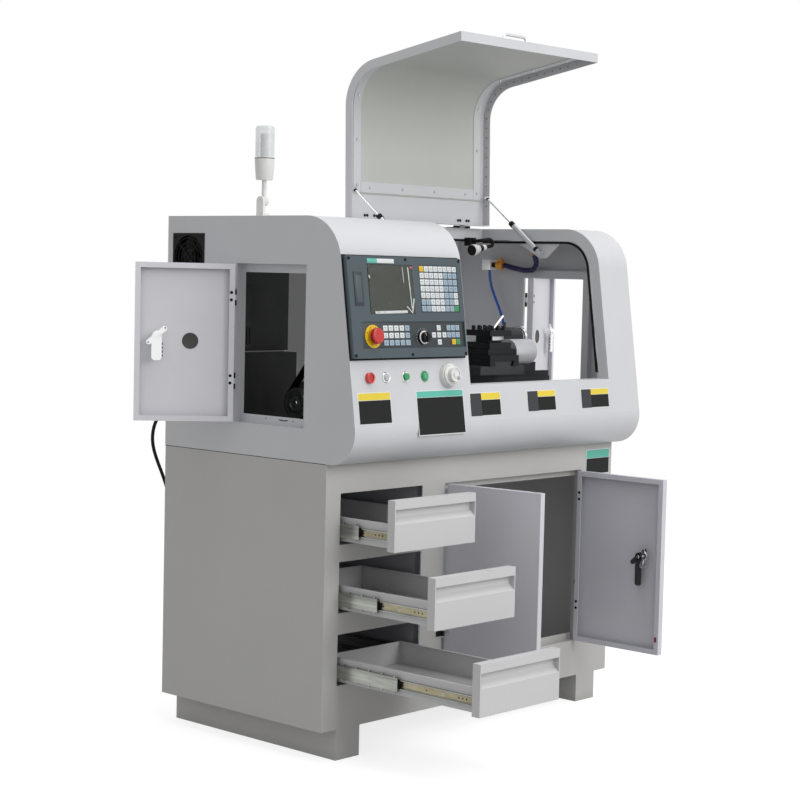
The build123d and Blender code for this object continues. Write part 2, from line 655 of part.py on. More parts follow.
def enclosure_front_and_roof():
    """One folded sheet from the seam over the front to the back edge of the roof, with the work opening."""
    sheet = shell_band(0, SHEET, SHEET, WIDTH - SHEET)
    sheet -= block(-1, WIDTH + 1, 30, DEPTH, SEAM_Z - 1, SEAM_Z + 60)
    sheet -= block(-1, WIDTH + 1, BACK_IN - SHEET, DEPTH + 1, SEAM_Z - 1, TOP_Z - SHEET)
    sheet -= block(OPENING_LEFT, OPENING_RIGHT, -300, OPENING_BACK, OPENING_LOW, TOP_Z + 1)
    # Folded returns round the opening
    for x in (OPENING_LEFT - SHEET, OPENING_RIGHT):
        strip = shell_band(SHEET / 2, FRAME_DEPTH, x, x + SHEET)
        strip &= block(x, x + SHEET, -300, OPENING_BACK + SHEET, OPENING_LOW - SHEET, TOP_Z)
        low = TOP_Z - FRAME_DEPTH
        ear = make_face(Polyline((BRACKET_FRONT, low + 5), (BRACKET_BACK, low + 5), (BRACKET_BACK, low),
                                 (STRUT_Y + 14, STRUT_Z - 16), (STRUT_Y - 14, STRUT_Z - 16),
                                 (BRACKET_FRONT, low), close=True))
        sheet += strip + slab(ear, x, x + SHEET)
    front = slope_y(OPENING_LOW)
    sheet += block(OPENING_LEFT - SHEET, OPENING_RIGHT + SHEET, front + 1, front + FRAME_DEPTH,
                   OPENING_LOW - SHEET, OPENING_LOW)
    sheet += block(OPENING_LEFT - SHEET, OPENING_RIGHT + SHEET, OPENING_BACK, OPENING_BACK + SHEET,
                   TOP_Z - FRAME_DEPTH, TOP_Z - SHEET / 2)
    # Strut pivot pins
    reach = STRUT_INSET + LID_GAP + STRUT_EYE_WIDTH / 2 + 2
    sheet += bar_x(ROD_RADIUS, OPENING_LEFT - SHEET, OPENING_LEFT + reach, STRUT_Y, STRUT_Z)
    sheet += bar_x(ROD_RADIUS, OPENING_RIGHT - reach, OPENING_RIGHT + SHEET, STRUT_Y, STRUT_Z)
    # Control cut-outs
    sheet -= front_box(PANEL_X, PANEL_Z, PANEL_WIDE - 2 * PANEL_MARGIN, PANEL_HIGH - 2 * PANEL_MARGIN, -9, 9)
    for x in BUTTON_X:
        sheet -= front_disc(x, BUTTON_Z, BUTTON_RADIUS, -9, 9)
    sheet -= front_disc(*HANDWHEEL, 22, -9, 9)
    return [sheet]


def enclosure_partition():
    """Wall between the electrics and the work area, with the spindle passage."""
    wall = slab(outline(SHEET + 0.5), PARTITION_X, PARTITION_X + SHEET)
    wall -= block(0, WIDTH, -300, 30, SEAM_Z - 1, SEAM_Z + 12)
    wall -= block(0, WIDTH, -300, DEPTH, SEAM_Z - 1, SEAM_Z + SHEET + 0.6)
    wall -= bar_x(NOSE_RADIUS + 12, PARTITION_X - 5, PARTITION_X + 5, SPINDLE_Y, SPINDLE_Z)
    gap = BED_WIDTH / 2 + 6
    wall -= block(PARTITION_X - 5, PARTITION_X + 5, SPINDLE_Y - gap, SPINDLE_Y + gap, SEAM_Z,
                  BED_TOP + WAY_HEIGHT + 4)
    return [wall]


TRAY_RIM = 30.0


def chip_tray():
    """Shallow pan on the deck that catches chips and coolant, with a drain spout."""
    x0, x1 = PARTITION_X + SHEET + 1, WIDTH - SHEET - 1
    y0, y1 = 32.0, BACK_IN - 3
    tray = block(x0, x1, y0, y1, SEAM_Z, SEAM_Z + TRAY_RIM)
    tray -= block(x0 + SHEET, x1 - SHEET, y0 + SHEET, y1 - SHEET, SEAM_Z + SHEET, SEAM_Z + TRAY_RIM + 1)
    tray -= bar_z(14, SEAM_Z - 1, SEAM_Z + 5, x1 - 60, y1 - 60)
    return [tray]


SERVICE_WIDE = SERVICE_BACK - SERVICE_FRONT - 2 * GAP
SERVICE_HIGH = SERVICE_TOP - SERVICE_LOW - 2 * GAP
SERVICE_AXIS = (-KNUCKLE - 0.3, SERVICE_BACK)
SERVICE_LOCK_Y = SERVICE_FRONT + 58.0
SERVICE_LOCK_Z = 1058.0


def closed_service_door():
    """Left service door closed in its recess, knuckles included."""
    door = pan_door(SERVICE_WIDE, SERVICE_HIGH, SERVICE_THICK, DOOR_LIP)
    door = Pos(0, SERVICE_BACK - GAP, SERVICE_LOW + GAP) * Rot(0, 0, -90) * door
    door -= bar_x(LOCK_RADIUS + 0.3, -1, SHEET + 1, SERVICE_LOCK_Y, SERVICE_LOCK_Z)
    for z in SERVICE_HINGE_Z:
        door += block(-SHEET, 0, SERVICE_BACK - 24, SERVICE_BACK, z - 7 + 0.4, z + 7 - 0.4)
        for knuckle in knuckles(*SERVICE_AXIS, z, HINGE_LENGTH, KNUCKLE, False):
            door += knuckle
        door -= bar_z(PIN + PIN_PLAY, z - HINGE_LENGTH, z + HINGE_LENGTH, *SERVICE_AXIS)
    return door


def closed_service_lock():
    """Left service door's lock with its cam, door closed."""
    lock = cam_lock(0, 0, LOCK_RADIUS, SERVICE_DEPTH + 1, *SERVICE_CAM)
    return Pos(0, SERVICE_LOCK_Y, SERVICE_LOCK_Z) * Rot(0, 0, -90) * lock


def left_service(part):
    """A closed left service piece at its rest opening."""
    return [turned(part, (*SERVICE_AXIS, 0), (0, 0, 1), -LEFT_SERVICE_OPEN)]


def right_service(part):
    """The same piece on the right side, at its rest opening."""
    mirrored = mirror(part, Plane.YZ.offset(WIDTH / 2))
    return [turned(mirrored, (WIDTH - SERVICE_AXIS[0], SERVICE_AXIS[1], 0), (0, 0, 1), RIGHT_SERVICE_OPEN)]


FAN_BORE = 57.0
FAN_HUB = 22.0
FAN_PIN = 3.0
BLADES = 7


def fan_frame():
    """Square fan frame with corner bosses, a three-spoke motor seat and a ring guard."""
    size = FAN_SIZE - 0.6
    frame = Rot(0, 90, 0) * Box(size, size, FAN_DEPTH)
    frame -= Rot(0, 90, 0) * Cylinder(FAN_BORE, FAN_DEPTH + 2)
    for y in (-1, 1):
        for z in (-1, 1):
            frame -= Pos(0, y * 52.5, z * 52.5) * Rot(0, 90, 0) * Cylinder(2.2, FAN_DEPTH + 2)
    seat_x = FAN_DEPTH / 2 - 2
    seat = Pos(seat_x, 0, 0) * Rot(0, 90, 0) * Cylinder(FAN_HUB, 4)
    for spoke in range(3):
        arm = Pos(seat_x, 0, (FAN_BORE + FAN_HUB) / 2) * Box(4, 7, FAN_BORE - FAN_HUB + 6)
        seat += Rot(spoke * 120, 0, 0) * arm
    seat += Pos(seat_x - 5, 0, 0) * Rot(0, 90, 0) * Cylinder(FAN_PIN, 10)
    guard_x = -FAN_DEPTH / 2 + 1
    for radius in (16, 28, 40, 52):
        seat += Pos(guard_x, 0, 0) * Rot(0, 90, 0) * (Cylinder(radius, 2) - Cylinder(radius - 1.6, 3))
    for angle in (45, 135):
        seat += Rot(angle, 0, 0) * Pos(guard_x, 0, 0) * Box(2, 2 * FAN_BORE + 4, 2)
    return [Pos(FAN_DEPTH / 2 - 1, FAN_Y, FAN_Z) * (frame + seat)]


def fan_rotor():
    """Hub and seven pitched blades."""
    rotor = Rot(0, 90, 0) * Cylinder(FAN_HUB, FAN_DEPTH - 9)
    for blade in range(BLADES):
        length = FAN_BORE - FAN_HUB - 3
        sheet = Pos(0, 0, FAN_HUB + length / 2) * Rot(0, 0, 38) * Box(1.8, 17, length + 2)
        rotor += Rot(blade * 360 / BLADES, 0, 0) * sheet
    rotor -= Pos(5, 0, 0) * Rot(0, 90, 0) * Cylinder(FAN_PIN + PIN_PLAY, 10)
    return [Pos(FAN_DEPTH / 2 - 2, FAN_Y, FAN_Z) * rotor]


# Lid: made closed, then opened about its hinge

LID_LEFT = OPENING_LEFT + LID_GAP
LID_RIGHT = OPENING_RIGHT - LID_GAP
LID_BACK = OPENING_BACK - 8.0
LID_LOW = OPENING_LOW + GAP


def opened(part):
    """A closed lid piece at its rest opening."""
    return turned(part, (0, LID_AXIS_Y, LID_AXIS_Z), (1, 0, 0), -LID_OPEN)


def lid_band(inset0, inset1, x0, x1, back, low):
    """Band of the profile that the lid covers, between two insets."""
    return shell_band(inset0, inset1, x0, x1) & block(x0, x1, -300, back, low, TOP_Z + 1)


STRUT_ANCHOR = (LID_AXIS_Y - STRUT_LID_BACK, LID_AXIS_Z - STRUT_LID_DROP)


def lid_frame():
    """Curved lid skin with its window cut-out, folded rims, hinge knuckles and strut studs."""
    lid = lid_band(0, SHEET, LID_LEFT, LID_RIGHT, LID_BACK, LID_LOW)
    lid -= block(LID_LEFT + WINDOW_SIDE, LID_RIGHT - WINDOW_SIDE, -300, LID_BACK - WINDOW_BACK,
                 LID_LOW + WINDOW_LOW, TOP_Z + 2)
    for x in (LID_LEFT, LID_RIGHT - SHEET):
        lid += lid_band(SHEET / 2, LID_DEPTH, x, x + SHEET, LID_BACK, LID_LOW)
    lid += block(LID_LEFT, LID_RIGHT, LID_BACK - SHEET, LID_BACK, TOP_Z - LID_DEPTH, TOP_Z - SHEET / 2)
    front = slope_y(LID_LOW)
    lid += block(LID_LEFT, LID_RIGHT, front + 1, front + LID_DEPTH, LID_LOW, LID_LOW + SHEET)
    for x in LID_HINGE_X:
        third = LID_HINGE_LENGTH / 6 - 0.2
        lid += block(x - third, x + third, LID_AXIS_Y - LID_LEAF - 4, LID_AXIS_Y, TOP_Z, TOP_Z + SHEET)
        lid += bar_x(LID_KNUCKLE, x - third, x + third, LID_AXIS_Y, LID_AXIS_Z)
        lid -= bar_x(LID_PIN + PIN_PLAY, x - LID_HINGE_LENGTH, x + LID_HINGE_LENGTH, LID_AXIS_Y, LID_AXIS_Z)
    stud = STRUT_INSET - STRUT_EYE_WIDTH / 2 - 0.5
    lid += bar_x(STUD_RADIUS, LID_LEFT + SHEET / 2, LID_LEFT + stud, *STRUT_ANCHOR)
    lid += bar_x(STUD_RADIUS, LID_RIGHT - stud, LID_RIGHT - SHEET / 2, *STRUT_ANCHOR)
    return [opened(lid)]


SHEET_SIDE = 20.0
SHEET_MARGIN = 18.0


def lid_window():
    """Curved window sheet clamped behind the skin."""
    back = LID_BACK - WINDOW_BACK + SHEET_MARGIN
    low = LID_LOW + WINDOW_LOW - SHEET_MARGIN / 2
    sheet = lid_band(SHEET, SHEET + WINDOW_THICK, LID_LEFT + SHEET_SIDE, LID_RIGHT - SHEET_SIDE, back, low)
    return [opened(sheet)]


def lid_clamp_strips():
    """Four strips that clamp the window sheet: two curved sides, the rear one and the front one."""
    back = LID_BACK - WINDOW_BACK + SHEET_MARGIN - 3
    low = LID_LOW + WINDOW_LOW - SHEET_MARGIN / 2 + 3
    inner = SHEET + WINDOW_THICK
    x0, x1 = LID_LEFT + SHEET_SIDE + 4, LID_RIGHT - SHEET_SIDE - 4
    outer = inner + STRIP_THICK
    strips = [lid_band(inner, outer, x, x + STRIP_WIDTH, back, low) for x in (x0, x1 - STRIP_WIDTH)]
    middle = (x0 + STRIP_WIDTH + 1, x1 - STRIP_WIDTH - 1)
    across = lid_band(inner, outer, *middle, back, low)
    strips.append(across & block(*middle, back - STRIP_WIDTH, back, TOP_Z - 30, TOP_Z))
    strips.append(across & block(*middle, -300, 200, low, low + 18))
    return [opened(strip) for strip in strips]


def lid_handle():
    """Bow handle on the outside of the lid, near its lower edge."""
    z = LID_LOW + 28
    half = HANDLE_PITCH / 2
    rise = HANDLE_HEIGHT - HANDLE_BAR / 2
    path = FilletPolyline((-half, 0, 0), (-half, 0, rise), (half, 0, rise), (half, 0, 0), radius=12)
    bow = sweep((path ^ 0) * Circle(HANDLE_BAR / 2), path=path)
    return [opened(on_front(HANDLE_X, z) * bow)]


def strut_ends():
    """Body pivot and lid stud of a strut at rest, in the YZ plane, with length and angle."""
    angle = radians(LID_OPEN)
    dy, dz = -STRUT_LID_BACK, -STRUT_LID_DROP
    y = LID_AXIS_Y + dy * cos(angle) + dz * sin(angle)
    z = LID_AXIS_Z - dy * sin(angle) + dz * cos(angle)
    open_length = hypot(y - STRUT_Y, z - STRUT_Z)
    open_angle = degrees(atan2(z - STRUT_Z, y - STRUT_Y))
    shut_length = hypot(STRUT_ANCHOR[0] - STRUT_Y, STRUT_ANCHOR[1] - STRUT_Z)
    shut_angle = degrees(atan2(STRUT_ANCHOR[1] - STRUT_Z, STRUT_ANCHOR[0] - STRUT_Y))
    return open_length, open_angle, shut_length, shut_angle


def strut_place(x):
    """Frame of one strut: origin at its body pivot, local Z along the strut."""
    angle = radians(strut_ends()[1])
    return Plane(origin=(x, STRUT_Y, STRUT_Z), x_dir=(1, 0, 0), z_dir=(0, cos(angle), sin(angle))).location


STRUT_XS = (LID_LEFT + STRUT_INSET, LID_RIGHT - STRUT_INSET)


def strut_cylinders():
    """Two gas strut bodies with their pivot eyes."""
    body = Pos(0, 0, (STRUT_BODY + 8) / 2) * Cylinder(STRUT_RADIUS, STRUT_BODY - 8)
    body -= Pos(0, 0, (12 + STRUT_BODY - 4) / 2) * Cylinder(STRUT_BORE, STRUT_BODY - 16)
    body -= Pos(0, 0, STRUT_BODY) * Cylinder(ROD_RADIUS + 0.2, 20)
    body += Rot(0, 90, 0) * Cylinder(STRUT_EYE, STRUT_EYE_WIDTH)
    body += Pos(0, 0, 6) * Cylinder(4.5, 6)
    body -= Rot(0, 90, 0) * Cylinder(ROD_RADIUS + 0.08, STRUT_EYE_WIDTH + 1)
    return [strut_place(x) * body for x in STRUT_XS]


def strut_rods():
    """Two piston rods with their end eyes, drawn out as far as the open lid holds them."""
    length = strut_ends()[0]
    start = STRUT_BODY - 14
    rod = Pos(0, 0, (start + length) / 2) * Cylinder(ROD_RADIUS, length - start)
    rod += Pos(0, 0, start + 3) * Cylinder(STRUT_BORE - 0.3, 6)
    rod += Pos(0, 0, length) * Rot(0, 90, 0) * Cylinder(STRUT_EYE, STRUT_EYE_WIDTH)
    rod += Pos(0, 0, length - 6) * Cylinder(4.2, 4)
    return [strut_place(x) * rod for x in STRUT_XS]


# Controls

def controller_housing():
    """Raised front bezel with its pockets, and the closed box behind the sheet."""
    bezel = front_box(PANEL_X, PANEL_Z, PANEL_WIDE, PANEL_HIGH, 0, PANEL_PROUD)
    bezel = fillet(bezel.edges().filter_by(Axis((0, 0, 0), (0, -cos(SLANT), sin(SLANT)))), 5)
    x, z, wide, high = SCREEN
    bezel -= front_box(x, z, wide, high, PANEL_PROUD - POCKET, PANEL_PROUD + 1)
    x, z, wide, high = KEYPAD
    bezel -= front_box(x, z, wide, high, PANEL_PROUD - 1.5, PANEL_PROUD + 1)
    x, z, wide, high = LOWER_PANEL
    bezel -= front_box(x, z, wide, high, PANEL_PROUD - 3, PANEL_PROUD + 1)
    margin = PANEL_MARGIN + 1
    box = front_box(PANEL_X, PANEL_Z, PANEL_WIDE - 2 * margin, PANEL_HIGH - 2 * margin, -PANEL_BOX, 0)
    room = 2 * margin + 2 * SHEET
    box -= front_box(PANEL_X, PANEL_Z, PANEL_WIDE - room, PANEL_HIGH - room, SHEET - PANEL_BOX, -4)
    housing = bezel + box
    housing -= front_disc(*ESTOP, ESTOP_STEM + PLUNGER_PLAY, -20, PANEL_PROUD)
    housing -= front_disc(*FEED_KNOB, FEED_SHAFT + PIN_PLAY, -20, PANEL_PROUD)
    return [housing]


def controller_screen():
    """Screen pane in its pocket."""
    x, z, wide, high = SCREEN
    low = PANEL_PROUD - POCKET
    return [front_box(x, z, wide - 1, high - 1, low, low + 2.5)]


def key_grid(x, z, columns, rows, pitch_x, pitch_z, wide, high, low, top):
    """A grid of keys centred on a place of the sloping front."""
    keys = []
    for column in range(columns):
        for row in range(rows):
            along, up = (column - (columns - 1) / 2) * pitch_x, (row - (rows - 1) / 2) * pitch_z
            shift = Pos(along, up, (low + top) / 2)
            keys.append(on_front(x, z) * shift * Box(wide, high, top - low))
    return keys


def controller_keys():
    """Key sheets: the 8 by 7 block, and the small keys of the lower panel."""
    x, z, wide, high = KEYPAD
    low = PANEL_PROUD - 1.5
    pad = front_box(x, z, wide - 1, high - 1, low, low + 0.8)
    pad += key_grid(x, z, 8, 7, 17.9, 16.8, 15, 13.5, low + 0.8, low + 2.4)
    x, z, wide, high = LOWER_PANEL
    low = PANEL_PROUD - 3
    lower = front_box(x, z, wide - 1, high - 1, low, low + 0.8)
    top = low + 2.4
    keys = key_grid(163, 1073, 5, 3, 20, 18, 15, 13, low + 0.8, top)
    for dx, dz in ((0, 0), (-20, 0), (20, 0), (0, 18), (0, -18)):
        keys.append(front_box(322 + dx, 1073 + dz, 14, 13, low + 0.8, top))
    keys += key_grid(377, 1073, 3, 3, 17, 18, 14, 13, low + 0.8, top)
    lower += keys
    for x, z in (ESTOP, FEED_KNOB):
        lower -= front_disc(x, z, 9.5, -20, PANEL_PROUD + 9)
    return [pad, lower]


def control_rings():
    """Emergency stop ring, push button bezels, pilot lamps and the hand pulse wheel's housing."""
    face = PANEL_PROUD - 3 + 0.8
    ring = front_disc(*ESTOP, ESTOP_RING, face, face + 3) - front_disc(*ESTOP, 12, face - 1, face + 9)
    rings = [ring]
    for number, x in enumerate(BUTTON_X):
        ring_radius = BEZEL_RADIUS if number < 2 else BEZEL_RADIUS - 1.5
        bezel = front_disc(x, BUTTON_Z, ring_radius, 0, 3)
        bezel += front_disc(x, BUTTON_Z, BUTTON_RADIUS - 0.3, -24, 0)
        if number in (0, 2):
            bezel -= front_disc(x, BUTTON_Z, BUTTON_RADIUS - 2, -20, 9)
        else:
            bezel += front_disc(x, BUTTON_Z, BUTTON_RADIUS - 2, 3, 6)
        rings.append(bezel)
    base = front_disc(*HANDWHEEL, HANDWHEEL_BASE, 0, 11) + front_disc(*HANDWHEEL, 21.5, -30, 0)
    base += front_disc(*HANDWHEEL, HANDWHEEL_BASE - 3, 11, 17)
    base -= front_disc(*HANDWHEEL, HANDWHEEL_SHAFT + 0.05, -25, 20)
    rings.append(base)
    return rings


def emergency_stop_head():
    """Red mushroom head on its stem."""
    face = PANEL_PROUD + 0.8
    head = front_disc(*ESTOP, ESTOP_STEM, -6, face + 9)
    dome = Pos(0, 0, face + 8) * Cylinder(ESTOP_HEAD, 12, align=(Align.CENTER, Align.CENTER, Align.MIN))
    dome = fillet(dome.edges().sort_by(Axis.Z)[-1], 5)
    return [head + on_front(*ESTOP) * dome]


def feed_override_knob():
    """Black knob with a pointer rib, on its shaft."""
    low = PANEL_PROUD - 3 + 0.8 + 0.5
    knob = Pos(0, 0, low) * Cylinder(18, 4, align=(Align.CENTER, Align.CENTER, Align.MIN))
    knob += Pos(0, 0, low + 3) * Cylinder(13, 12, align=(Align.CENTER, Align.CENTER, Align.MIN))
    knob += Pos(0, 0, low + 14) * Box(5, 24, 8)
    knob += Pos(0, 0, low - 5) * Cylinder(FEED_SHAFT, 12)
    return [on_front(*FEED_KNOB) * knob]


def push_button(x):
    """Push button cap with its stem, inside its bezel."""
    cap = front_disc(x, BUTTON_Z, BUTTON_RADIUS - 2.3, -8, 7)
    return [cap]


def pulse_handwheel():
    """Hand pulse wheel with a rim, a dial disc and a small crank knob."""
    wheel = Pos(0, 0, 23.5) * Cylinder(HANDWHEEL_RADIUS, 12)
    wheel -= Pos(0, 0, 28.5) * (Cylinder(HANDWHEEL_RADIUS - 3, 3) - Cylinder(7, 4))
    wheel += Pos(0, 0, 5) * Cylinder(HANDWHEEL_SHAFT, 30)
    wheel += Pos(10, -7, 31) * Cylinder(4, 12)
    return [on_front(*HANDWHEEL) * wheel]


# Signal lamp

def signal_lamp_foot():
    """Round foot with three screws and the fork of the folding joint."""
    foot = bar_z(LAMP_FOOT / 2 + 8, TOP_Z, TOP_Z + 4, LAMP_X, LAMP_Y)
    foot += bar_z(14, TOP_Z + 4, TOP_Z + 12, LAMP_X, LAMP_Y)
    fork = block(LAMP_X - 15, LAMP_X - 8, LAMP_Y - 13, LAMP_Y + 13, TOP_Z + 4, LAMP_PIVOT_Z)
    fork += bar_x(13, LAMP_X - 15, LAMP_X - 8, LAMP_Y, LAMP_PIVOT_Z)
    fork += bar_x(5, LAMP_X - 8, LAMP_X + 8, LAMP_Y, LAMP_PIVOT_Z)
    for turn in range(3):
        angle = radians(90 + 120 * turn)
        foot += bar_z(3.5, TOP_Z + 4, TOP_Z + 6.5, LAMP_X + 24 * cos(angle), LAMP_Y + 24 * sin(angle))
    return [foot + fork]


def signal_lamp_head():
    """Arm, tapered base and clear lamp cylinder."""
    arm = bar_x(13, LAMP_X - 7.5, LAMP_X + 8, LAMP_Y, LAMP_PIVOT_Z)
    arm += bar_z(7, LAMP_PIVOT_Z, LAMP_BASE_Z, LAMP_X, LAMP_Y)
    arm -= bar_x(5.06, LAMP_X - 9, LAMP_X + 9, LAMP_Y, LAMP_PIVOT_Z)
    cone = Cone(22, LAMP_RADIUS, LAMP_LENS_Z - LAMP_BASE_Z, align=(Align.CENTER, Align.CENTER, Align.MIN))
    base = Pos(LAMP_X, LAMP_Y, LAMP_BASE_Z) * cone
    lens = bar_z(LAMP_RADIUS - 1, LAMP_LENS_Z, LAMP_TOP, LAMP_X, LAMP_Y)
    lens = fillet(lens.edges().sort_by(Axis.Z)[-1], 5)
    return [arm + base, lens]


# Lathe

BED_LOW = BED_TOP - BED_HEIGHT
BED_WALL = 34.0
BED_RIBS = 4
BED_RIB_PITCH = 130.0
WAY_START = 210.0
FOOT_LENGTH = 130.0


def lathe_bed():
    """Cast bed with two raised ways, windows through its ribs, and two feet."""
    y0, y1 = SPINDLE_Y - BED_WIDTH / 2, SPINDLE_Y + BED_WIDTH / 2
    bed = block(BED_LEFT, BED_RIGHT, y0, y1, BED_LOW, BED_TOP)
    wall = BED_WALL
    bed -= block(BED_LEFT + 240, BED_RIGHT - 20, y0 + wall, y1 - wall, BED_LOW + 18, BED_TOP + 1)
    for number in range(BED_RIBS):
        x = BED_LEFT + 290 + number * BED_RIB_PITCH
        bed += block(x, x + 14, y0 + 20, y1 - 20, BED_LOW, BED_TOP - 12)
    for y in (y0 + 4, y1 - 4 - WAY_WIDTH):
        bed += block(BED_LEFT + WAY_START, BED_RIGHT, y, y + WAY_WIDTH, BED_TOP, BED_TOP + WAY_HEIGHT)
    for x in (BED_LEFT + 20, BED_RIGHT - 30 - FOOT_LENGTH):
        low = SEAM_Z if x < PARTITION_X - 140 else SEAM_Z + SHEET
        bed += block(x, x + FOOT_LENGTH, y0 - 15, y1 + 15, low, BED_LOW)
    return [bed]


HEAD_LEFT = 325.0
HEAD_TOP = SPINDLE_Z + 68
HEAD_ROUND = 30.0
PULLEY_LEFT = HEAD_LEFT - 45.0
PULLEY_RIGHT = HEAD_LEFT - 13.0
CHUCK_START = HEAD_LEFT + HEAD_LENGTH + 2.0
CHUCK_LENGTH = 30.0
NUT_RADIUS = 31.0
NUT_LENGTH = 34.0
SPINDLE_BORE = 11.0


def headstock():
    """Headstock casting with its bored spindle bearing seats."""
    half = HEAD_WIDTH / 2
    head = block(HEAD_LEFT, HEAD_LEFT + HEAD_LENGTH, SPINDLE_Y - half, SPINDLE_Y + half, BED_TOP, HEAD_TOP)
    tops = head.edges().filter_by(Axis.X).sort_by(Axis.Z)[-2:]
    head = fillet(tops, HEAD_ROUND)
    head -= block(HEAD_LEFT + 30, HEAD_LEFT + HEAD_LENGTH - 30, SPINDLE_Y - half + 12, SPINDLE_Y + half - 12,
                  BED_TOP + 10, SPINDLE_Z + 40)
    head -= bar_x(SPINDLE_RADIUS + 0.08, HEAD_LEFT - 1, HEAD_LEFT + HEAD_LENGTH + 1, SPINDLE_Y, SPINDLE_Z)
    return [head]


def spindle():
    """Spindle with its toothed pulley at the left and the collet chuck at the right."""
    chuck_end = CHUCK_START + CHUCK_LENGTH
    nut_end = chuck_end + NUT_LENGTH
    shaft = bar_x(SPINDLE_RADIUS, PULLEY_LEFT - 15, chuck_end - 2, SPINDLE_Y, SPINDLE_Z)
    shaft += bar_x(PULLEY_RADIUS, PULLEY_LEFT, PULLEY_RIGHT, SPINDLE_Y, SPINDLE_Z)
    for x in (PULLEY_LEFT - 2, PULLEY_RIGHT):
        shaft += bar_x(PULLEY_RADIUS + 4, x, x + 2, SPINDLE_Y, SPINDLE_Z)
    shaft += bar_x(NOSE_RADIUS, CHUCK_START, chuck_end, SPINDLE_Y, SPINDLE_Z)
    shaft += bar_x(NUT_RADIUS, chuck_end, nut_end, SPINDLE_Y, SPINDLE_Z)
    shaft -= bar_x(SPINDLE_BORE, PULLEY_LEFT - 35, nut_end + 24, SPINDLE_Y, SPINDLE_Z)
    return [shaft]


SADDLE_LOW = BED_TOP + WAY_HEIGHT + 0.3
SADDLE_HIGH = SADDLE_LOW + 24


def carriage():
    """Saddle on the ways with its dovetail across."""
    x0, x1 = CARRIAGE_X - CARRIAGE_LENGTH / 2, CARRIAGE_X + CARRIAGE_LENGTH / 2
    half = BED_WIDTH / 2 + 8
    saddle = block(x0, x1, SPINDLE_Y - half - 95, SPINDLE_Y + half, SADDLE_LOW, SADDLE_HIGH)
    for y in (SPINDLE_Y - half, SPINDLE_Y + half - 7):
        saddle += block(x0, x1, y, y + 7, BED_TOP - 20, SADDLE_LOW + 1)
    tail = make_face(Polyline((-35, 0), (35, 0), (42, 14), (-42, 14), close=True))
    saddle += along_y(tail, CARRIAGE_X, SADDLE_HIGH, SPINDLE_Y - half - 95, SPINDLE_Y + half)
    return [saddle]


def cross_slide():
    """Cross slide on the dovetail, with the turret's base and its motor with a domed cover."""
    x = CARRIAGE_X
    low = SADDLE_HIGH + 0.3
    slide = block(x - 62, x + 62, TURRET_Y - 62, SPINDLE_Y + 10, low, low + 30)
    tail = make_face(Polyline((-35.5, -1), (35.5, -1), (42.5, 14.3), (-42.5, 14.3), close=True))
    slide -= along_y(tail, x, SADDLE_HIGH, TURRET_Y - 70, SPINDLE_Y + 20)
    half = TURRET_SIZE / 2
    slide += block(x - half - 6, x + half + 6, TURRET_Y - half, TURRET_Y + half, low + 29, TURRET_LOW - 0.3)
    motor_z = low + MOTOR_RADIUS + 1
    motor = bar_x(MOTOR_RADIUS, x + half + 40, x + half + 130, TURRET_Y, motor_z)
    dome = Pos(x + half + 130, TURRET_Y, motor_z) * Rot(0, 90, 0) * Cone(
        MOTOR_RADIUS, MOTOR_RADIUS - 14, 12, align=(Align.CENTER, Align.CENTER, Align.MIN))
    link = block(x + half + 6, x + half + 40, TURRET_Y - 32, TURRET_Y + 32, low + 6, TURRET_LOW - 1)
    return [slide + link, motor + dome]


def turret_head():
    """Four-way tool head: slots on each side, clamp screws on top and the coolant pipe."""
    x, y = CARRIAGE_X, TURRET_Y
    half = TURRET_SIZE / 2
    head = block(x - half, x + half, y - half, y + half, TURRET_LOW, TURRET_TOP)
    for turn in range(4):
        slot = block(half - 22, half + 1, -half - 1, half + 1, TURRET_LOW + 18, TURRET_LOW + 36)
        head -= Pos(x, y, 0) * Rot(0, 0, 90 * turn) * slot
        for number in range(3):
            screw = bar_z(5, TURRET_TOP - 2, TURRET_TOP + 12, half - 11, (number - 1) * 24)
            head += Pos(x, y, 0) * Rot(0, 0, 90 * turn) * screw
    head += bar_z(13, TURRET_TOP - 1, TURRET_TOP + 8, x, y)
    return [head]


def tailstock():
    """Tailstock casting on the ways, bored for its quill."""
    x0, x1 = TAIL_X - TAIL_LENGTH / 2, TAIL_X + TAIL_LENGTH / 2
    half = BED_WIDTH / 2
    base = block(x0, x1, SPINDLE_Y - half, SPINDLE_Y + half, SADDLE_LOW, SADDLE_LOW + 26)
    neck = block(x0 + 8, x1 - 6, SPINDLE_Y - 24, SPINDLE_Y + 24, SADDLE_LOW + 20, SPINDLE_Z)
    barrel = bar_x(27, x0, x1, SPINDLE_Y, SPINDLE_Z)
    barrel -= bar_x(QUILL_RADIUS + 0.06, x0 - 1, x1 + 1, SPINDLE_Y, SPINDLE_Z)
    body = base + (neck - bar_x(26, x0 - 1, x1 + 1, SPINDLE_Y, SPINDLE_Z)) + barrel
    body += bar_z(4, SPINDLE_Z + 25, SPINDLE_Z + 42, TAIL_X - 12, SPINDLE_Y)
    return [body]


def tailstock_quill():
    """Quill with its centre point."""
    x0 = TAIL_X - TAIL_LENGTH / 2 - 18
    quill = bar_x(QUILL_RADIUS, x0, TAIL_X + 14, SPINDLE_Y, SPINDLE_Z)
    quill += Pos(x0, SPINDLE_Y, SPINDLE_Z) * Rot(0, -90, 0) * Cone(
        QUILL_RADIUS - 3, 1.0, 22, align=(Align.CENTER, Align.CENTER, Align.MIN))
    return [quill]


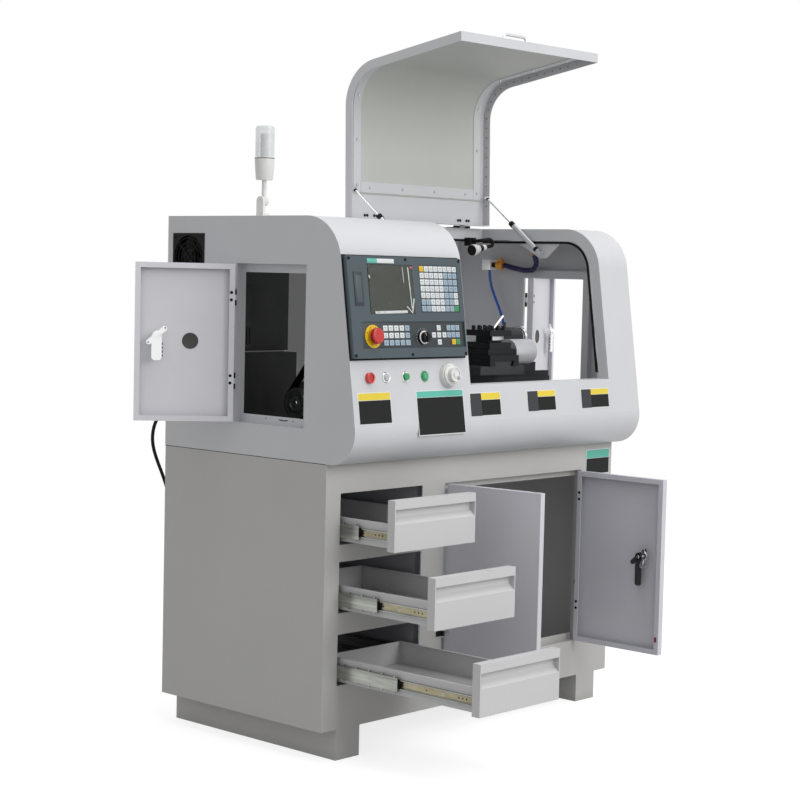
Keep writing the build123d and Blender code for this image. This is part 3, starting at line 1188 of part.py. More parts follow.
def tailstock_handwheel():
    """Rimmed handwheel with three spokes and a crank knob, on the quill screw."""
    x = TAIL_X + TAIL_LENGTH / 2 + 12
    wheel = Rot(0, 90, 0) * Torus(TAIL_WHEEL_RADIUS - 5, 5)
    for turn in range(3):
        spoke = Pos(0, 0, (TAIL_WHEEL_RADIUS - 5) / 2) * Box(6, 7, TAIL_WHEEL_RADIUS - 5)
        wheel += Rot(120 * turn + 30, 0, 0) * spoke
    wheel += Rot(0, 90, 0) * Cylinder(9, 16)
    wheel += Pos(13, 0, TAIL_WHEEL_RADIUS - 5) * Rot(0, 90, 0) * Cylinder(4, 22)
    wheel = Pos(x, SPINDLE_Y, SPINDLE_Z) * wheel
    wheel += bar_x(6, TAIL_X + 16, x, SPINDLE_Y, SPINDLE_Z)
    wheel += bar_x(QUILL_RADIUS - 0.3, x - 11.5, x - 8, SPINDLE_Y, SPINDLE_Z)
    return [wheel]


# Work light and coolant, inside the work area

def tube_along(points, radius, radii):
    """A round tube along straight runs joined by arcs."""
    path = FilletPolyline(*points, radius=radii)
    return sweep((path ^ 0) * Circle(radius), path=path)


def cord_radii(points, share=0.45):
    """Radius of each corner: 0.45 of the shorter run over the tangent of half the turn."""
    radii = []
    for before, at, after in zip(points, points[1:], points[2:]):
        first, second = Vector(*at) - Vector(*before), Vector(*after) - Vector(*at)
        turn = radians(first.get_angle(second))
        radii.append(share * min(first.length, second.length) / tan(turn / 2))
    return radii


LIGHT_X = OPENING_RIGHT - 69.0
LIGHT_TURNS = [(0, -24, -39), (0, -52, -36), (33, -66, -30), (37, -70, -50), (-9, -74, -57)]
LIGHT_ROUTE = [(LIGHT_X + x, OPENING_BACK + y, TOP_Z + z) for x, y, z in LIGHT_TURNS]
LIGHT_RADIUS = 5.0
LIGHT_LENGTH = 62.0


def work_light():
    """Clamp foot on the opening's rear return, gooseneck and lamp head."""
    foot = block(LIGHT_X - 13, LIGHT_X + 13, OPENING_BACK - 24, OPENING_BACK, TOP_Z - 52, TOP_Z - 28)
    neck = tube_along(LIGHT_ROUTE, LIGHT_RADIUS, cord_radii(LIGHT_ROUTE))
    tip = Vector(*LIGHT_ROUTE[-1])
    way = (tip - Vector(*LIGHT_ROUTE[-2])).normalized()
    place = Plane(origin=tip, z_dir=way).location
    head = place * Cone(8, 16, LIGHT_LENGTH, align=(Align.CENTER, Align.CENTER, Align.MIN))
    return [foot + neck, head]


VALVE = (WIDTH - 29.0, 452.0, 1262.0)
PUMP_TOP = 842.0
PUMP_WIDE = 64.0
PUMP_LEFT = WIDTH - 113.0
PUMP_Y = 363.0
TUBE_RADIUS = 4.0
TUBE_TURNS = [(-29, 462, 1246), (-29, 459, 1206), (-26, 438, 1160), (-29, 410, 1112), (-39, 386, 1066),
              (-52, 370, 1022), (-65, 361, 974), (-75, 357, 926), (-79, 357, 880)]
TUBE_ROUTE = [(WIDTH + x, y, z) for x, y, z in TUBE_TURNS]


def coolant_fittings():
    """Manifold on the end wall, tap, segmented hose and nozzle."""
    x, y, z = VALVE
    wall = WIDTH - SHEET
    manifold = block(x - 14, wall, y - 4, y + 30, z - 16, z + 16)
    manifold += bar_y(8, y - 20, y - 4, x, z)
    tap = bar_y(13, y - 46, y - 20, x, z) + bar_z(6, z, z + 22, x, y - 33)
    hose = [tap]
    points = [(x, y - 47, z), (x - 6, y - 84, z - 8), (x - 22, y - 120, z - 12), (x - 40, y - 146, z + 4),
              (x - 44, y - 150, z + 36)]
    for number in range(len(points) - 1):
        start, end = Vector(*points[number]), Vector(*points[number + 1])
        steps = 1 + int((end - start).length // 13)
        for step in range(steps):
            a = start + (end - start) * (step / steps)
            way = (end - start).normalized()
            link = Plane(origin=a, z_dir=way).location * (
                Cone(5.5, 8.5, 9, align=(Align.CENTER, Align.CENTER, Align.MIN))
                + Cylinder(4, 15, align=(Align.CENTER, Align.CENTER, Align.MIN)))
            hose.append(link)
    tip = Vector(*points[-1])
    way = Vector(0.1, 0.3, 1).normalized()
    cone = Cone(8, 4, 34, align=(Align.CENTER, Align.CENTER, Align.MIN))
    nozzle = Plane(origin=tip - way * 3, z_dir=way).location * cone
    run = hose[0]
    for link in hose[1:]:
        run += link
    half = PUMP_WIDE / 2
    pump = block(PUMP_LEFT, PUMP_LEFT + PUMP_WIDE, PUMP_Y - half, PUMP_Y + half, SEAM_Z + SHEET, PUMP_TOP)
    pump += bar_z(26, PUMP_TOP, PUMP_TOP + 16, PUMP_LEFT + half, PUMP_Y)
    barb = TUBE_ROUTE[-1]
    pump += bar_z(TUBE_RADIUS + 2, PUMP_TOP, barb[2], barb[0], barb[1])
    return [manifold, run + nozzle, pump]


def coolant_tube():
    """Blue tube from the manifold down behind the bed."""
    return [tube_along(TUBE_ROUTE, TUBE_RADIUS, cord_radii(TUBE_ROUTE))]


# Electrics side

def electrics():
    """Mounting plate on the back wall, spindle drive, power supply and the spindle motor."""
    plate = block(PLATE_LEFT, PLATE_RIGHT, PLATE_Y, PLATE_Y + SHEET, PLATE_LOW, TOP_Z - 60)
    for x in (PLATE_LEFT, PLATE_RIGHT - 20):
        plate += block(x, x + 20, PLATE_Y + SHEET, BACK_IN, PLATE_LOW, TOP_Z - 60)
    low = PLATE_LOW + 16
    drive = block(PLATE_LEFT + 20, PLATE_LEFT + 130, PLATE_Y - 130, PLATE_Y, low, low + 160)
    for number in range(9):
        x = PLATE_LEFT + 28 + number * 11
        drive -= block(x, x + 5, PLATE_Y - 131, PLATE_Y - 90, low + 10, low + 55)
    supply = block(PLATE_LEFT + 142, PLATE_LEFT + 210, PLATE_Y - 50, PLATE_Y, low + 10, low + 170)
    y, z = DRIVE_MOTOR
    half = DRIVE_RADIUS
    motor = bar_x(half, HEAD_LEFT + 5, PLATE_RIGHT, y, z)
    motor += block(HEAD_LEFT + 13, PLATE_RIGHT - 7, y - half, y + half, SEAM_Z, z)
    motor += bar_x(MOTOR_PULLEY, PULLEY_LEFT, PULLEY_RIGHT, y, z)
    motor += bar_x(9, PULLEY_RIGHT, HEAD_LEFT + 5, y, z)
    front = DEPTH - 57
    right = PLATE_RIGHT + 5
    cover = block(PLATE_LEFT, right, front, front + SHEET, SEAM_Z, PLATE_LOW - 4)
    cover += block(PLATE_LEFT, right, front, BACK_IN, PLATE_LOW - 6, PLATE_LOW - 4)
    return [plate, drive, supply, motor, cover]


# Mains cord: the free stretch from the gland to the floor, then a coil and the plug

CORD_ROUTE = [(60, 651, 842), (60, 686, 842), (51, 714, 818), (43, 722, 782), (42, 721, 744),
              (54, 716, 702), (70, 709, 660), (85, 702, 612), (97, 696, 560), (107, 690, 506),
              (116, 685, 450), (124, 680, 394),
              (131, 676, 336), (137, 672, 278), (142, 669, 222), (146, 667, 168), (152, 666, 118),
              (164, 665, 74), (188, 665, 38), (220, 665, 14), (248, 665, 5.4), (270, 665, 5)]
COIL_X = 288.0
COIL_Y = 726.5
COIL_MIDDLE = 52.0
COIL_HEIGHT = 26.0


def mains_cord():
    """Free stretch of the cord, from the gland down to the coil."""
    return [tube_along(CORD_ROUTE, CORD_RADIUS, cord_radii(CORD_ROUTE))]


def mains_cord_coil():
    """Outer shape of the six turns: three below, two on them and one on top."""
    wide, narrow = 3 * CORD_RADIUS, CORD_RADIUS
    low, high = 2 * CORD_RADIUS, COIL_HEIGHT
    half = [(wide, 0), (wide, low), (narrow, high), (-narrow, high), (-wide, low), (-wide, 0)]
    section = Plane.XZ * make_face(Polyline(*[(COIL_MIDDLE + x, z) for x, z in half], close=True))
    return [Pos(COIL_X, COIL_Y, 0) * revolve(section, Axis.Z)]


PLUG_Y = COIL_Y - COIL_MIDDLE - CORD_RADIUS
PLUG_X = COIL_X + 32.0
PLUG_Z = 13.0
BOOT_LENGTH = 28.0
PLUG_LENGTH = 66.0


def mains_plug():
    """Moulded three-pin plug lying on the floor, its boot at the coil."""
    along = Plane(origin=(PLUG_X, PLUG_Y, PLUG_Z), x_dir=(0, 1, 0), z_dir=(1, 0, 0))
    boot = along.location * Cone(6.5, 10, BOOT_LENGTH, align=(Align.CENTER, Align.CENTER, Align.MIN))
    rear = along.offset(BOOT_LENGTH - 2) * RectangleRounded(22, 20, 8)
    front = along.offset(PLUG_LENGTH) * RectangleRounded(38, 25.6, 9)
    body = boot + loft([rear, front])
    for y, z, tilt in ((0, 7.5, 0), (-7.9, -4.2, 30), (7.9, -4.2, -30)):
        pin = Pos(PLUG_X + PLUG_LENGTH + 9, PLUG_Y + y, PLUG_Z + z) * Rot(tilt, 0, 0) * Box(18, 1.6, 6.3)
        body += pin
    return [body]


def arranged():
    """Every sub-part by name, in the working frame."""
    return {
        "stand_side_panels": stand_side_panels(),
        "stand_front_frame": stand_front_frame(),
        "stand_inner_panels": stand_inner_panels(),
        "stand_plinths": stand_plinths(),
        "back_panels": back_panels(),
        "drawer_outer_rails": drawer_outer_rails(),
        **{f"drawer_{n + 1}_middle_rails": drawer_middle_rails(n) for n in range(3)},
        **{f"drawer_{n + 1}": drawer_tray(n) for n in range(3)},
        "cupboard_left_door": cupboard_left_door(),
        "cupboard_right_door": cupboard_right_door(),
        "cupboard_lock_cam": cupboard_lock_cam(),
        "cupboard_door_bolt": cupboard_door_bolt(),
        "hinge_leaves": hinge_leaves(),
        "enclosure_left_panel": enclosure_left_panel(),
        "enclosure_right_panel": enclosure_right_panel(),
        "enclosure_front_and_roof": enclosure_front_and_roof(),
        "enclosure_inner_panels": enclosure_partition() + chip_tray(),
        "left_service_door": left_service(closed_service_door()),
        "left_service_lock": left_service(closed_service_lock()),
        "right_service_door": right_service(closed_service_door()),
        "right_service_lock": right_service(closed_service_lock()),
        "fan_frame": fan_frame(),
        "fan_rotor": fan_rotor(),
        "lid_frame": lid_frame(),
        "lid_window": lid_window(),
        "lid_clamp_strips": lid_clamp_strips(),
        "lid_handle": lid_handle(),
        "strut_cylinders": strut_cylinders(),
        "strut_rods": strut_rods(),
        "controller_housing": controller_housing(),
        "controller_screen": controller_screen(),
        "controller_keys": controller_keys(),
        "control_rings": control_rings(),
        "emergency_stop_head": emergency_stop_head(),
        "feed_override_knob": feed_override_knob(),
        "red_button": push_button(BUTTON_X[0]),
        "green_button": push_button(BUTTON_X[2]),
        "pulse_handwheel": pulse_handwheel(),
        "signal_lamp_foot": signal_lamp_foot(),
        "signal_lamp_head": signal_lamp_head(),
        "lathe_bed": lathe_bed(),
        "headstock": headstock(),
        "spindle": spindle(),
        "carriage": carriage(),
        "cross_slide": cross_slide(),
        "turret_head": turret_head(),
        "tailstock": tailstock(),
        "tailstock_quill": tailstock_quill(),
        "tailstock_handwheel": tailstock_handwheel(),
        "work_light": work_light(),
        "coolant_fittings": coolant_fittings(),
        "coolant_tube": coolant_tube(),
        "electrics": electrics(),
        "mains_cord": mains_cord(),
        "mains_cord_coil": mains_cord_coil(),
        "mains_plug": mains_plug(),
    }


CORD_NODES = ("mains_cord", "mains_cord_coil", "mains_plug", "coolant_tube")
pieces = arranged()
fixed = [Compound(solids_of(*parts)) for name, parts in pieces.items() if name not in CORD_NODES]
boxes = [compound.bounding_box() for compound in fixed]
SHIFT = (-(min(b.min.X for b in boxes) + max(b.max.X for b in boxes)) / 2,
         -(min(b.min.Y for b in boxes) + max(b.max.Y for b in boxes)) / 2,
         -min(b.min.Z for b in boxes))

os.makedirs("parts", exist_ok=True)
for route, radius in ((CORD_ROUTE, CORD_RADIUS), (TUBE_ROUTE, TUBE_RADIUS)):
    print("bend radii", [round(value) for value in cord_radii(route)], "diameter", 2 * radius)
for name, parts in pieces.items():
    solids = solids_of(*parts)
    moved = [Pos(*SHIFT) * solid for solid in solids]
    export_step(moved[0] if len(moved) == 1 else Compound(children=moved), f"parts/{name}.step")
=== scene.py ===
import math
import bmesh
import bpy
from mathutils import Matrix, Vector, noise


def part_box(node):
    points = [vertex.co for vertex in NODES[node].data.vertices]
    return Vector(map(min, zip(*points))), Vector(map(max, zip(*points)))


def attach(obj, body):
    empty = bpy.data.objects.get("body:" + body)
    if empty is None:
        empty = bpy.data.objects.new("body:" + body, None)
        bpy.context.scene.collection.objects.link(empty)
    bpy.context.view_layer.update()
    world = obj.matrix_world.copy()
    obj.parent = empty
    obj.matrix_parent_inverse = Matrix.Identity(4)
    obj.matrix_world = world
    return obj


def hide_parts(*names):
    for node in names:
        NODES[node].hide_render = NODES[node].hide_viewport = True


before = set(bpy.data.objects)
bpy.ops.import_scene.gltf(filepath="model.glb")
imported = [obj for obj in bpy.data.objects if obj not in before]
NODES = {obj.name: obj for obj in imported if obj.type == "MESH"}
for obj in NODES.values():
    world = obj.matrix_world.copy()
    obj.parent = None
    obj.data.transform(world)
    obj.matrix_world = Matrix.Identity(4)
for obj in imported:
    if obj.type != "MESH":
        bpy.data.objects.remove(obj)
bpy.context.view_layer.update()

# Camera at the height of the controls, to the left in front of the machine. Places are written in
# millimetres of the working frame: from the left side, the stand's front face and the floor.
SCENE = bpy.context.scene
SCENE.view_settings.view_transform = "Standard"
STAND_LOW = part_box("stand_side_panels")[0]
STAND_BASE = 0.079
SHIFT = Vector((STAND_LOW.x, STAND_LOW.y, STAND_LOW.z - STAND_BASE))


def at(x, y, z):
    """A point of the working frame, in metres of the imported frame."""
    return SHIFT + Vector((x, y, z)) / 1000


CAMERA_AT = (-3263.0, -3269.0, 1231.5)
YAW, PITCH, ROLL = 0.8257, -0.0678, 0.0238
FOCAL_PX, CENTRE_X, CENTRE_Y = 1874.757, 405.072, 400.115
PIXELS, SENSOR = 800, 36.0
forward = Vector((math.sin(YAW) * math.cos(PITCH), math.cos(YAW) * math.cos(PITCH), math.sin(PITCH)))
level_right = Vector((math.cos(YAW), -math.sin(YAW), 0))
level_up = level_right.cross(forward)
right = math.cos(ROLL) * level_right + math.sin(ROLL) * level_up
up = -math.sin(ROLL) * level_right + math.cos(ROLL) * level_up
camera_data = bpy.data.cameras.new("camera")
camera_data.sensor_width = SENSOR
camera_data.lens = FOCAL_PX / PIXELS * SENSOR
camera_data.shift_x = (PIXELS / 2 - CENTRE_X) / PIXELS
camera_data.shift_y = (CENTRE_Y - PIXELS / 2) / PIXELS
camera = bpy.data.objects.new("camera", camera_data)
SCENE.collection.objects.link(camera)
turn = Matrix((right, up, -forward)).transposed().to_4x4()
camera.matrix_world = Matrix.Translation(at(*CAMERA_AT)) @ turn
SCENE.camera = camera

# Studio light: one large soft lamp in front of the machine and one above it, in a pale world that
# shows white behind the machine and in its metal.
MIDDLE = Vector((0.0, 0.0, 0.9))
WORLD_LIGHT = 0.51


def lamp(name, spot, size, power):
    """A square area lamp aimed at the middle of the machine."""
    data = bpy.data.lights.new(name, "AREA")
    data.energy = power
    data.size = size
    lamp_object = bpy.data.objects.new(name, data)
    SCENE.collection.objects.link(lamp_object)
    lamp_object.location = spot
    lamp_object.rotation_euler = (MIDDLE - Vector(spot)).to_track_quat("-Z", "Y").to_euler()


def shown_rays(nodes, links):
    """One for rays that the camera, a gloss or a clear sheet sends, else nothing."""
    path = nodes.new("ShaderNodeLightPath")
    seen = path.outputs["Is Camera Ray"]
    for kind in ("Is Glossy Ray", "Is Transmission Ray"):
        either = nodes.new("ShaderNodeMath")
        either.operation = "MAXIMUM"
        links.new(seen, either.inputs[0])
        links.new(path.outputs[kind], either.inputs[1])
        seen = either.outputs[0]
    return seen


lamp("front_lamp", (0.5, -4.6, 3.1), size=3.0, power=114)
lamp("top_lamp", (-0.2, -0.8, 5.2), size=3.2, power=70)
world = bpy.data.worlds.new("studio")
SCENE.world = world
world.use_nodes = True
tree = world.node_tree
tree.nodes.clear()
strength = tree.nodes.new("ShaderNodeMapRange")
strength.inputs["To Min"].default_value = WORLD_LIGHT
strength.inputs["To Max"].default_value = 1.0
background = tree.nodes.new("ShaderNodeBackground")
background.inputs["Color"].default_value = (1, 1, 1, 1)
output = tree.nodes.new("ShaderNodeOutputWorld")
tree.links.new(shown_rays(tree.nodes, tree.links), strength.inputs["Value"])
tree.links.new(strength.outputs[0], background.inputs["Strength"])
tree.links.new(background.outputs[0], output.inputs[0])

# Stand: folded steel sheet with a fine powder coat, welded round its front frame and set on two
# channel plinths. The joint to the enclosure shows as a thin black strip, painted shade of the gap.
MIX_SHADED, MIX_UNSHADED, MIX_RESULT = 6, 7, 2


def linear(code):
    """A colour from its hex code, as the shaders take it."""
    parts = [int(code[i:i + 2], 16) / 255 for i in (0, 2, 4)]
    return tuple(c / 12.92 if c <= 0.04045 else ((c + 0.055) / 1.055) ** 2.4 for c in parts) + (1.0,)


def scaled(colour, factor):
    """A colour made darker or lighter."""
    return tuple(min(1.0, c * factor) for c in colour[:3]) + (1.0,)


def material(name, code, rough, metal=0.0, vary=0.06, scale=6.0, grain=260.0, bump=0.03, coat=0.0,
             painted_glow=0.0, stretch=(1, 1, 1), rough_vary=0.08, corner_shade=0.0, shine=0.5, alpha=1.0):
    """A finish with cloudy colour, uneven gloss, a fine surface grain, painted corner shade and any
    painted glow.
    """
    made = bpy.data.materials.new(name)
    made.use_nodes = True
    nodes, links = made.node_tree.nodes, made.node_tree.links
    shader = nodes["Principled BSDF"]
    base = linear(code)
    made.diffuse_color = base
    shader.inputs["Metallic"].default_value = metal
    shader.inputs["Coat Weight"].default_value = coat
    shader.inputs["Coat Roughness"].default_value = 0.15
    shader.inputs["Specular IOR Level"].default_value = shine
    shader.inputs["Alpha"].default_value = alpha
    where = nodes.new("ShaderNodeTexCoord")
    mapping = nodes.new("ShaderNodeMapping")
    mapping.inputs["Scale"].default_value = stretch
    links.new(where.outputs["Object"], mapping.inputs["Vector"])
    cloud = nodes.new("ShaderNodeTexNoise")
    cloud.inputs["Scale"].default_value = scale
    cloud.inputs["Detail"].default_value = 6.0
    links.new(mapping.outputs[0], cloud.inputs["Vector"])
    ramp = nodes.new("ShaderNodeValToRGB")
    dark, light = ramp.color_ramp.elements
    dark.position, light.position = 0.3, 0.7
    dark.color, light.color = scaled(base, 1 - vary), scaled(base, 1 + vary)
    links.new(cloud.outputs["Fac"], ramp.inputs["Fac"])
    colour = ramp.outputs["Color"]
    # Painted shade: the colour darkens in corners and recesses, where ambient occlusion finds near
    # surfaces.
    if corner_shade:
        corner = nodes.new("ShaderNodeAmbientOcclusion")
        corner.inputs["Distance"].default_value = 0.03
        darker = nodes.new("ShaderNodeMix")
        darker.data_type = "RGBA"
        darker.inputs[MIX_SHADED].default_value = scaled(base, 1 - corner_shade)
        links.new(colour, darker.inputs[MIX_UNSHADED])
        links.new(corner.outputs["AO"], darker.inputs[0])
        colour = darker.outputs[MIX_RESULT]
    links.new(colour, shader.inputs["Base Color"])
    gloss = nodes.new("ShaderNodeMapRange")
    gloss.inputs["To Min"].default_value = max(0.02, rough - rough_vary)
    gloss.inputs["To Max"].default_value = min(1.0, rough + rough_vary)
    links.new(cloud.outputs["Fac"], gloss.inputs["Value"])
    links.new(gloss.outputs[0], shader.inputs["Roughness"])
    fine = nodes.new("ShaderNodeTexNoise")
    fine.inputs["Scale"].default_value = grain
    fine.inputs["Detail"].default_value = 3.0
    links.new(mapping.outputs[0], fine.inputs["Vector"])
    relief = nodes.new("ShaderNodeBump")
    relief.inputs["Strength"].default_value = bump
    relief.inputs["Distance"].default_value = 0.002
    links.new(fine.outputs["Fac"], relief.inputs["Height"])
    links.new(relief.outputs[0], shader.inputs["Normal"])
    # Painted glow: the surface sends out its own colour as light, though it is no lamp.
    if painted_glow:
        shader.inputs["Emission Color"].default_value = base
        shader.inputs["Emission Strength"].default_value = painted_glow
    return made


def dress(finish, *names):
    """Gives CAD nodes their finish."""
    for name in names:
        NODES[name].data.materials.clear()
        NODES[name].data.materials.append(finish)


TO_FRAME = Matrix.Translation(SHIFT) @ Matrix.Scale(0.001, 4)


def place(x, y, z, toward=(0, 0, 1), about=0.0):
    """A place whose local Z points toward a direction."""
    tilt = Vector(toward).to_track_quat("Z", "Y").to_matrix().to_4x4()
    return Matrix.Translation((x, y, z)) @ tilt @ Matrix.Rotation(about, 4, "Z")


class Piece:
    """A mesh of worked shapes, each with its own finish, in millimetres of the working frame."""

    def __init__(self, name):
        self.name = name
        self.mesh = bmesh.new()
        self.finishes = []

    def keep(self, shape, where, finish):
        """Sets a finished shape at its place in the piece."""
        if finish not in self.finishes:
            self.finishes.append(finish)
        for face in shape.faces:
            face.material_index = self.finishes.index(finish)
        bmesh.ops.recalc_face_normals(shape, faces=shape.faces)
        bmesh.ops.transform(shape, matrix=where, verts=shape.verts)
        data = bpy.data.meshes.new("shape")
        shape.to_mesh(data)
        shape.free()
        self.mesh.from_mesh(data)
        bpy.data.meshes.remove(data)

    def box(self, where, size, finish, bevel=0.4, move=(0, 0, 0)):
        """A box centred on a place, with rounded edges."""
        shape = bmesh.new()
        bmesh.ops.create_cube(shape, size=1.0)
        bmesh.ops.scale(shape, vec=size, verts=shape.verts)
        if bevel:
            bmesh.ops.bevel(shape, geom=shape.edges, offset=bevel, segments=2, affect="EDGES",
                            profile=0.5, material=-1)
        self.keep(shape, where @ Matrix.Translation(move), finish)

    def turned(self, where, profile, finish, sides=32):
        """A form turned about local Z, from (radius, height) points."""
        shape = bmesh.new()
        points = [shape.verts.new((radius, 0, height)) for radius, height in profile]
        for low, high in zip(points, points[1:]):
            shape.edges.new((low, high))
        bmesh.ops.spin(shape, geom=shape.verts[:] + shape.edges[:], cent=(0, 0, 0), axis=(0, 0, 1),
                       dvec=(0, 0, 0), angle=2 * math.pi, steps=sides, use_merge=True,
                       use_duplicate=False)
        bmesh.ops.remove_doubles(shape, verts=shape.verts, dist=0.001)
        self.keep(shape, where, finish)

    def disc(self, where, radius, low, high, finish, bevel=0.4, sides=32):
        """A disc or rod between two heights, with rounded rims."""
        self.turned(where, [(0, low), (radius - bevel, low), (radius, low + bevel),
                            (radius, high - bevel), (radius - bevel, high), (0, high)], finish, sides)

    def ring(self, where, inner, outer, low, high, finish, bevel=0.4, sides=32):
        """A flat ring between two heights."""
        self.turned(where, [(inner, low), (outer - bevel, low), (outer, low + bevel),
                            (outer, high - bevel), (outer - bevel, high), (inner + bevel, high),
                            (inner, high - bevel), (inner, low)], finish, sides)

    def swept(self, where, section, moves, finish):
        """A bar of one section, carried along runs and round bends."""
        shape = bmesh.new()
        end = shape.faces.new([shape.verts.new(corner) for corner in section])
        for move in moves:
            if len(move) == 1:
                made = bmesh.ops.extrude_face_region(shape, geom=[end])["geom"]
                corners = [part for part in made if isinstance(part, bmesh.types.BMVert)]
                bmesh.ops.translate(shape, vec=move[0], verts=corners)
            else:
                centre, axis, angle, steps = move
                made = bmesh.ops.spin(shape, geom=[end, *end.edges, *end.verts], cent=centre, axis=axis,
                                      dvec=(0, 0, 0), angle=angle, steps=steps,
                                      use_duplicate=False)["geom_last"]
            end = [part for part in made if isinstance(part, bmesh.types.BMFace)][0]
        bmesh.ops.remove_doubles(shape, verts=shape.verts, dist=0.001)
        inside = [face for face in shape.faces if all(len(edge.link_faces) > 2 for edge in face.edges)]
        bmesh.ops.delete(shape, geom=inside, context="FACES_ONLY")
        self.keep(shape, where, finish)

    def done(self, body, replaces=(), smooth=40.0):
        """Makes the object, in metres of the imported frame, and says what it rides on."""
        bmesh.ops.transform(self.mesh, matrix=TO_FRAME, verts=self.mesh.verts)
        data = bpy.data.meshes.new(self.name)
        self.mesh.to_mesh(data)
        self.mesh.free()
        for finish in self.finishes:
            data.materials.append(finish)
        data.shade_smooth()
        data.set_sharp_from_angle(angle=math.radians(smooth))
        made = bpy.data.objects.new(self.name, data)
        SCENE.collection.objects.link(made)
        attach(made, body)
        if replaces:
            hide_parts(*replaces)
        return made


WIDTH, DEPTH, TOP_Z, SEAM_Z = 1179.0, 617.0, 1368.0, 753.0
LINE_OUT, LINE_THICK, LINE_HIGH, FRONT_LINE_HIGH = 0.1, 0.3, 1.5, 1.6
# The stand's paint is a warmer grey than the enclosure's, and darker as painted shade for the weaker
# light low down.
stand_paint_and_shade = material("stand_paint_and_shade", "c4c3c0", 0.42, vary=0.02, grain=420, bump=0.05, corner_shade=0.25)
stand_inner = material("stand_inner_paint", "a3a3a9", 0.5, vary=0.03, grain=420, bump=0.05, corner_shade=0.15)
dark_steel = material("dark_steel", "17181a", 0.5, metal=0.2, vary=0.15, grain=200, bump=0.06,
                      shine=0.25)
black_plastic = material("black_plastic", "0d0e0f", 0.5, vary=0.15, grain=300, bump=0.05, shine=0.2)
dress(stand_paint_and_shade, "stand_side_panels", "stand_front_frame", "stand_plinths")
dress(stand_inner, "stand_inner_panels")
dress(dark_steel, "hinge_leaves")
# The black strips are painted shade: they stand for the dark gap where the enclosure sits on the stand.
seam_shade = Piece("stand_seam_shade")
for x in (-LINE_OUT, WIDTH + LINE_OUT):
    seam_shade.box(place(x, DEPTH / 2, SEAM_Z), (LINE_THICK, DEPTH - 4, LINE_HIGH), black_plastic, bevel=0)
seam_shade.box(place(WIDTH / 2, -LINE_OUT, SEAM_Z - FRONT_LINE_HIGH / 2),
          (WIDTH - 6, LINE_THICK, FRONT_LINE_HIGH), black_plastic, bevel=0)
seam_shade.done("frame")

# Drawers: painted trays on three-part ball-bearing slides. The slides are zinc-plated steel with
# pressed holes, and each ball cage has a black plastic end; painted shade darkens their webs and holes.
DRAWER_TOPS, DRAWER_HEIGHT, PULLED = (678.0, 505.0, 321.0), 129.0, (185.0, 322.0, 470.0)
RAIL_LIFT, RAIL_RUN, TRAY_START, RAIL_GAP = 36.5, 490.0, 24.0, 2.0
RAIL_FACES, CAGE_FACES = ((64.7, -1), (344.3, 1)), ((50.0, 1), (359.0, -1))
LIP, WEB, HALF, EDGE = 6.95, 1.75, 11.75, 2.0
CHANNEL = ((0, HALF), (LIP, HALF), (LIP, HALF - EDGE), (WEB, HALF - EDGE),
           (WEB, EDGE - HALF), (LIP, EDGE - HALF), (LIP, -HALF), (0, -HALF))
HOLES = ((2.2, (22, 34, 46, 150, 262, 410)), (3.4, (424, 452)))
BRIDGES = (96, 204, 330)
drawer_paint = material("drawer_paint", "d3d3d4", 0.42, vary=0.02, grain=420, bump=0.05, corner_shade=0.2)
# Plated steel: a zinc colour, made darker as painted shade for the slides' recessed channels.
plated = material("plated_steel", "93958f", 0.24, metal=1.0, vary=0.3, scale=30, bump=0.02,
                  stretch=(1, 0.3, 4))
# The darker yellowish strip along each web is painted shade in the channel between the lips.
channel_shade = material("channel_shade_steel", "8f8871", 0.22, metal=0.85, vary=0.3, scale=34,
                   stretch=(1, 0.4, 1))
dress(drawer_paint, "drawer_1", "drawer_2", "drawer_3")
dress(plated, "drawer_outer_rails", "drawer_1_middle_rails", "drawer_2_middle_rails",
      "drawer_3_middle_rails")
for number, (top, pulled) in enumerate(zip(DRAWER_TOPS, PULLED), start=1):
    rail_z = top - DRAWER_HEIGHT + RAIL_LIFT
    start = TRAY_START - pulled + RAIL_GAP
    rails = Piece(f"drawer_{number}_inner_rails")
    for edge, way in RAIL_FACES:
        web, outward, rail_middle = edge + way * WEB, (way, 0, 0), start + RAIL_RUN / 2
        section = [(edge + way * reach, start, rail_z + height) for reach, height in CHANNEL]
        rails.swept(Matrix(), section, [[(0, RAIL_RUN, 0)]], plated)
        rails.box(place(web + way * 0.1, rail_middle, rail_z), (0.4, RAIL_RUN - 4, 15), channel_shade, 0.1)
        # The pressed holes are dark discs on the web: painted shade standing in for the holes.
        for radius, holes in HOLES:
            for along in holes:
                rails.disc(place(web, start + along, rail_z, outward), radius, -0.2, 0.55, dark_steel,
                           bevel=0.1, sides=14)
        for along in BRIDGES:
            rails.box(place(web, start + along, rail_z, outward), (5, 12, 1.2), plated, 0.2)
        for side in (-1, 1):
            rails.box(place(edge + way * 4.2, rail_middle + 8, rail_z + side * 6.5), (4.4, 9, 5.5),
                      black_plastic, 0.8)
    rails.done(f"drawer_{number}")
    cages = Piece(f"drawer_{number}_cage_ends")
    cage_middle = TRAY_START + 4 - pulled / 2
    for x, way in CAGE_FACES:
        cages.box(place(x + way * 4.4, cage_middle - 1.9, rail_z), (6, 3.2, 17), black_plastic, 0.8)
        cages.box(place(x + way * 3.0, cage_middle + 16, rail_z), (0.6, 20, 9), dark_steel, 0.2)
    cages.done(f"drawer_{number}_middle_rails")

# Cupboard doors: pans of painted sheet. The right one has a black cam lock with its keys left in,
# the left one a slide bolt of bright steel. Rubber buffers sit on the frame and on the free edge.


def swung(x, y, angle):
    """The turn from a closed door to its rest opening."""
    axis = Matrix.Translation((x, y, 0))
    return axis @ Matrix.Rotation(math.radians(angle), 4, "Z") @ axis.inverted()


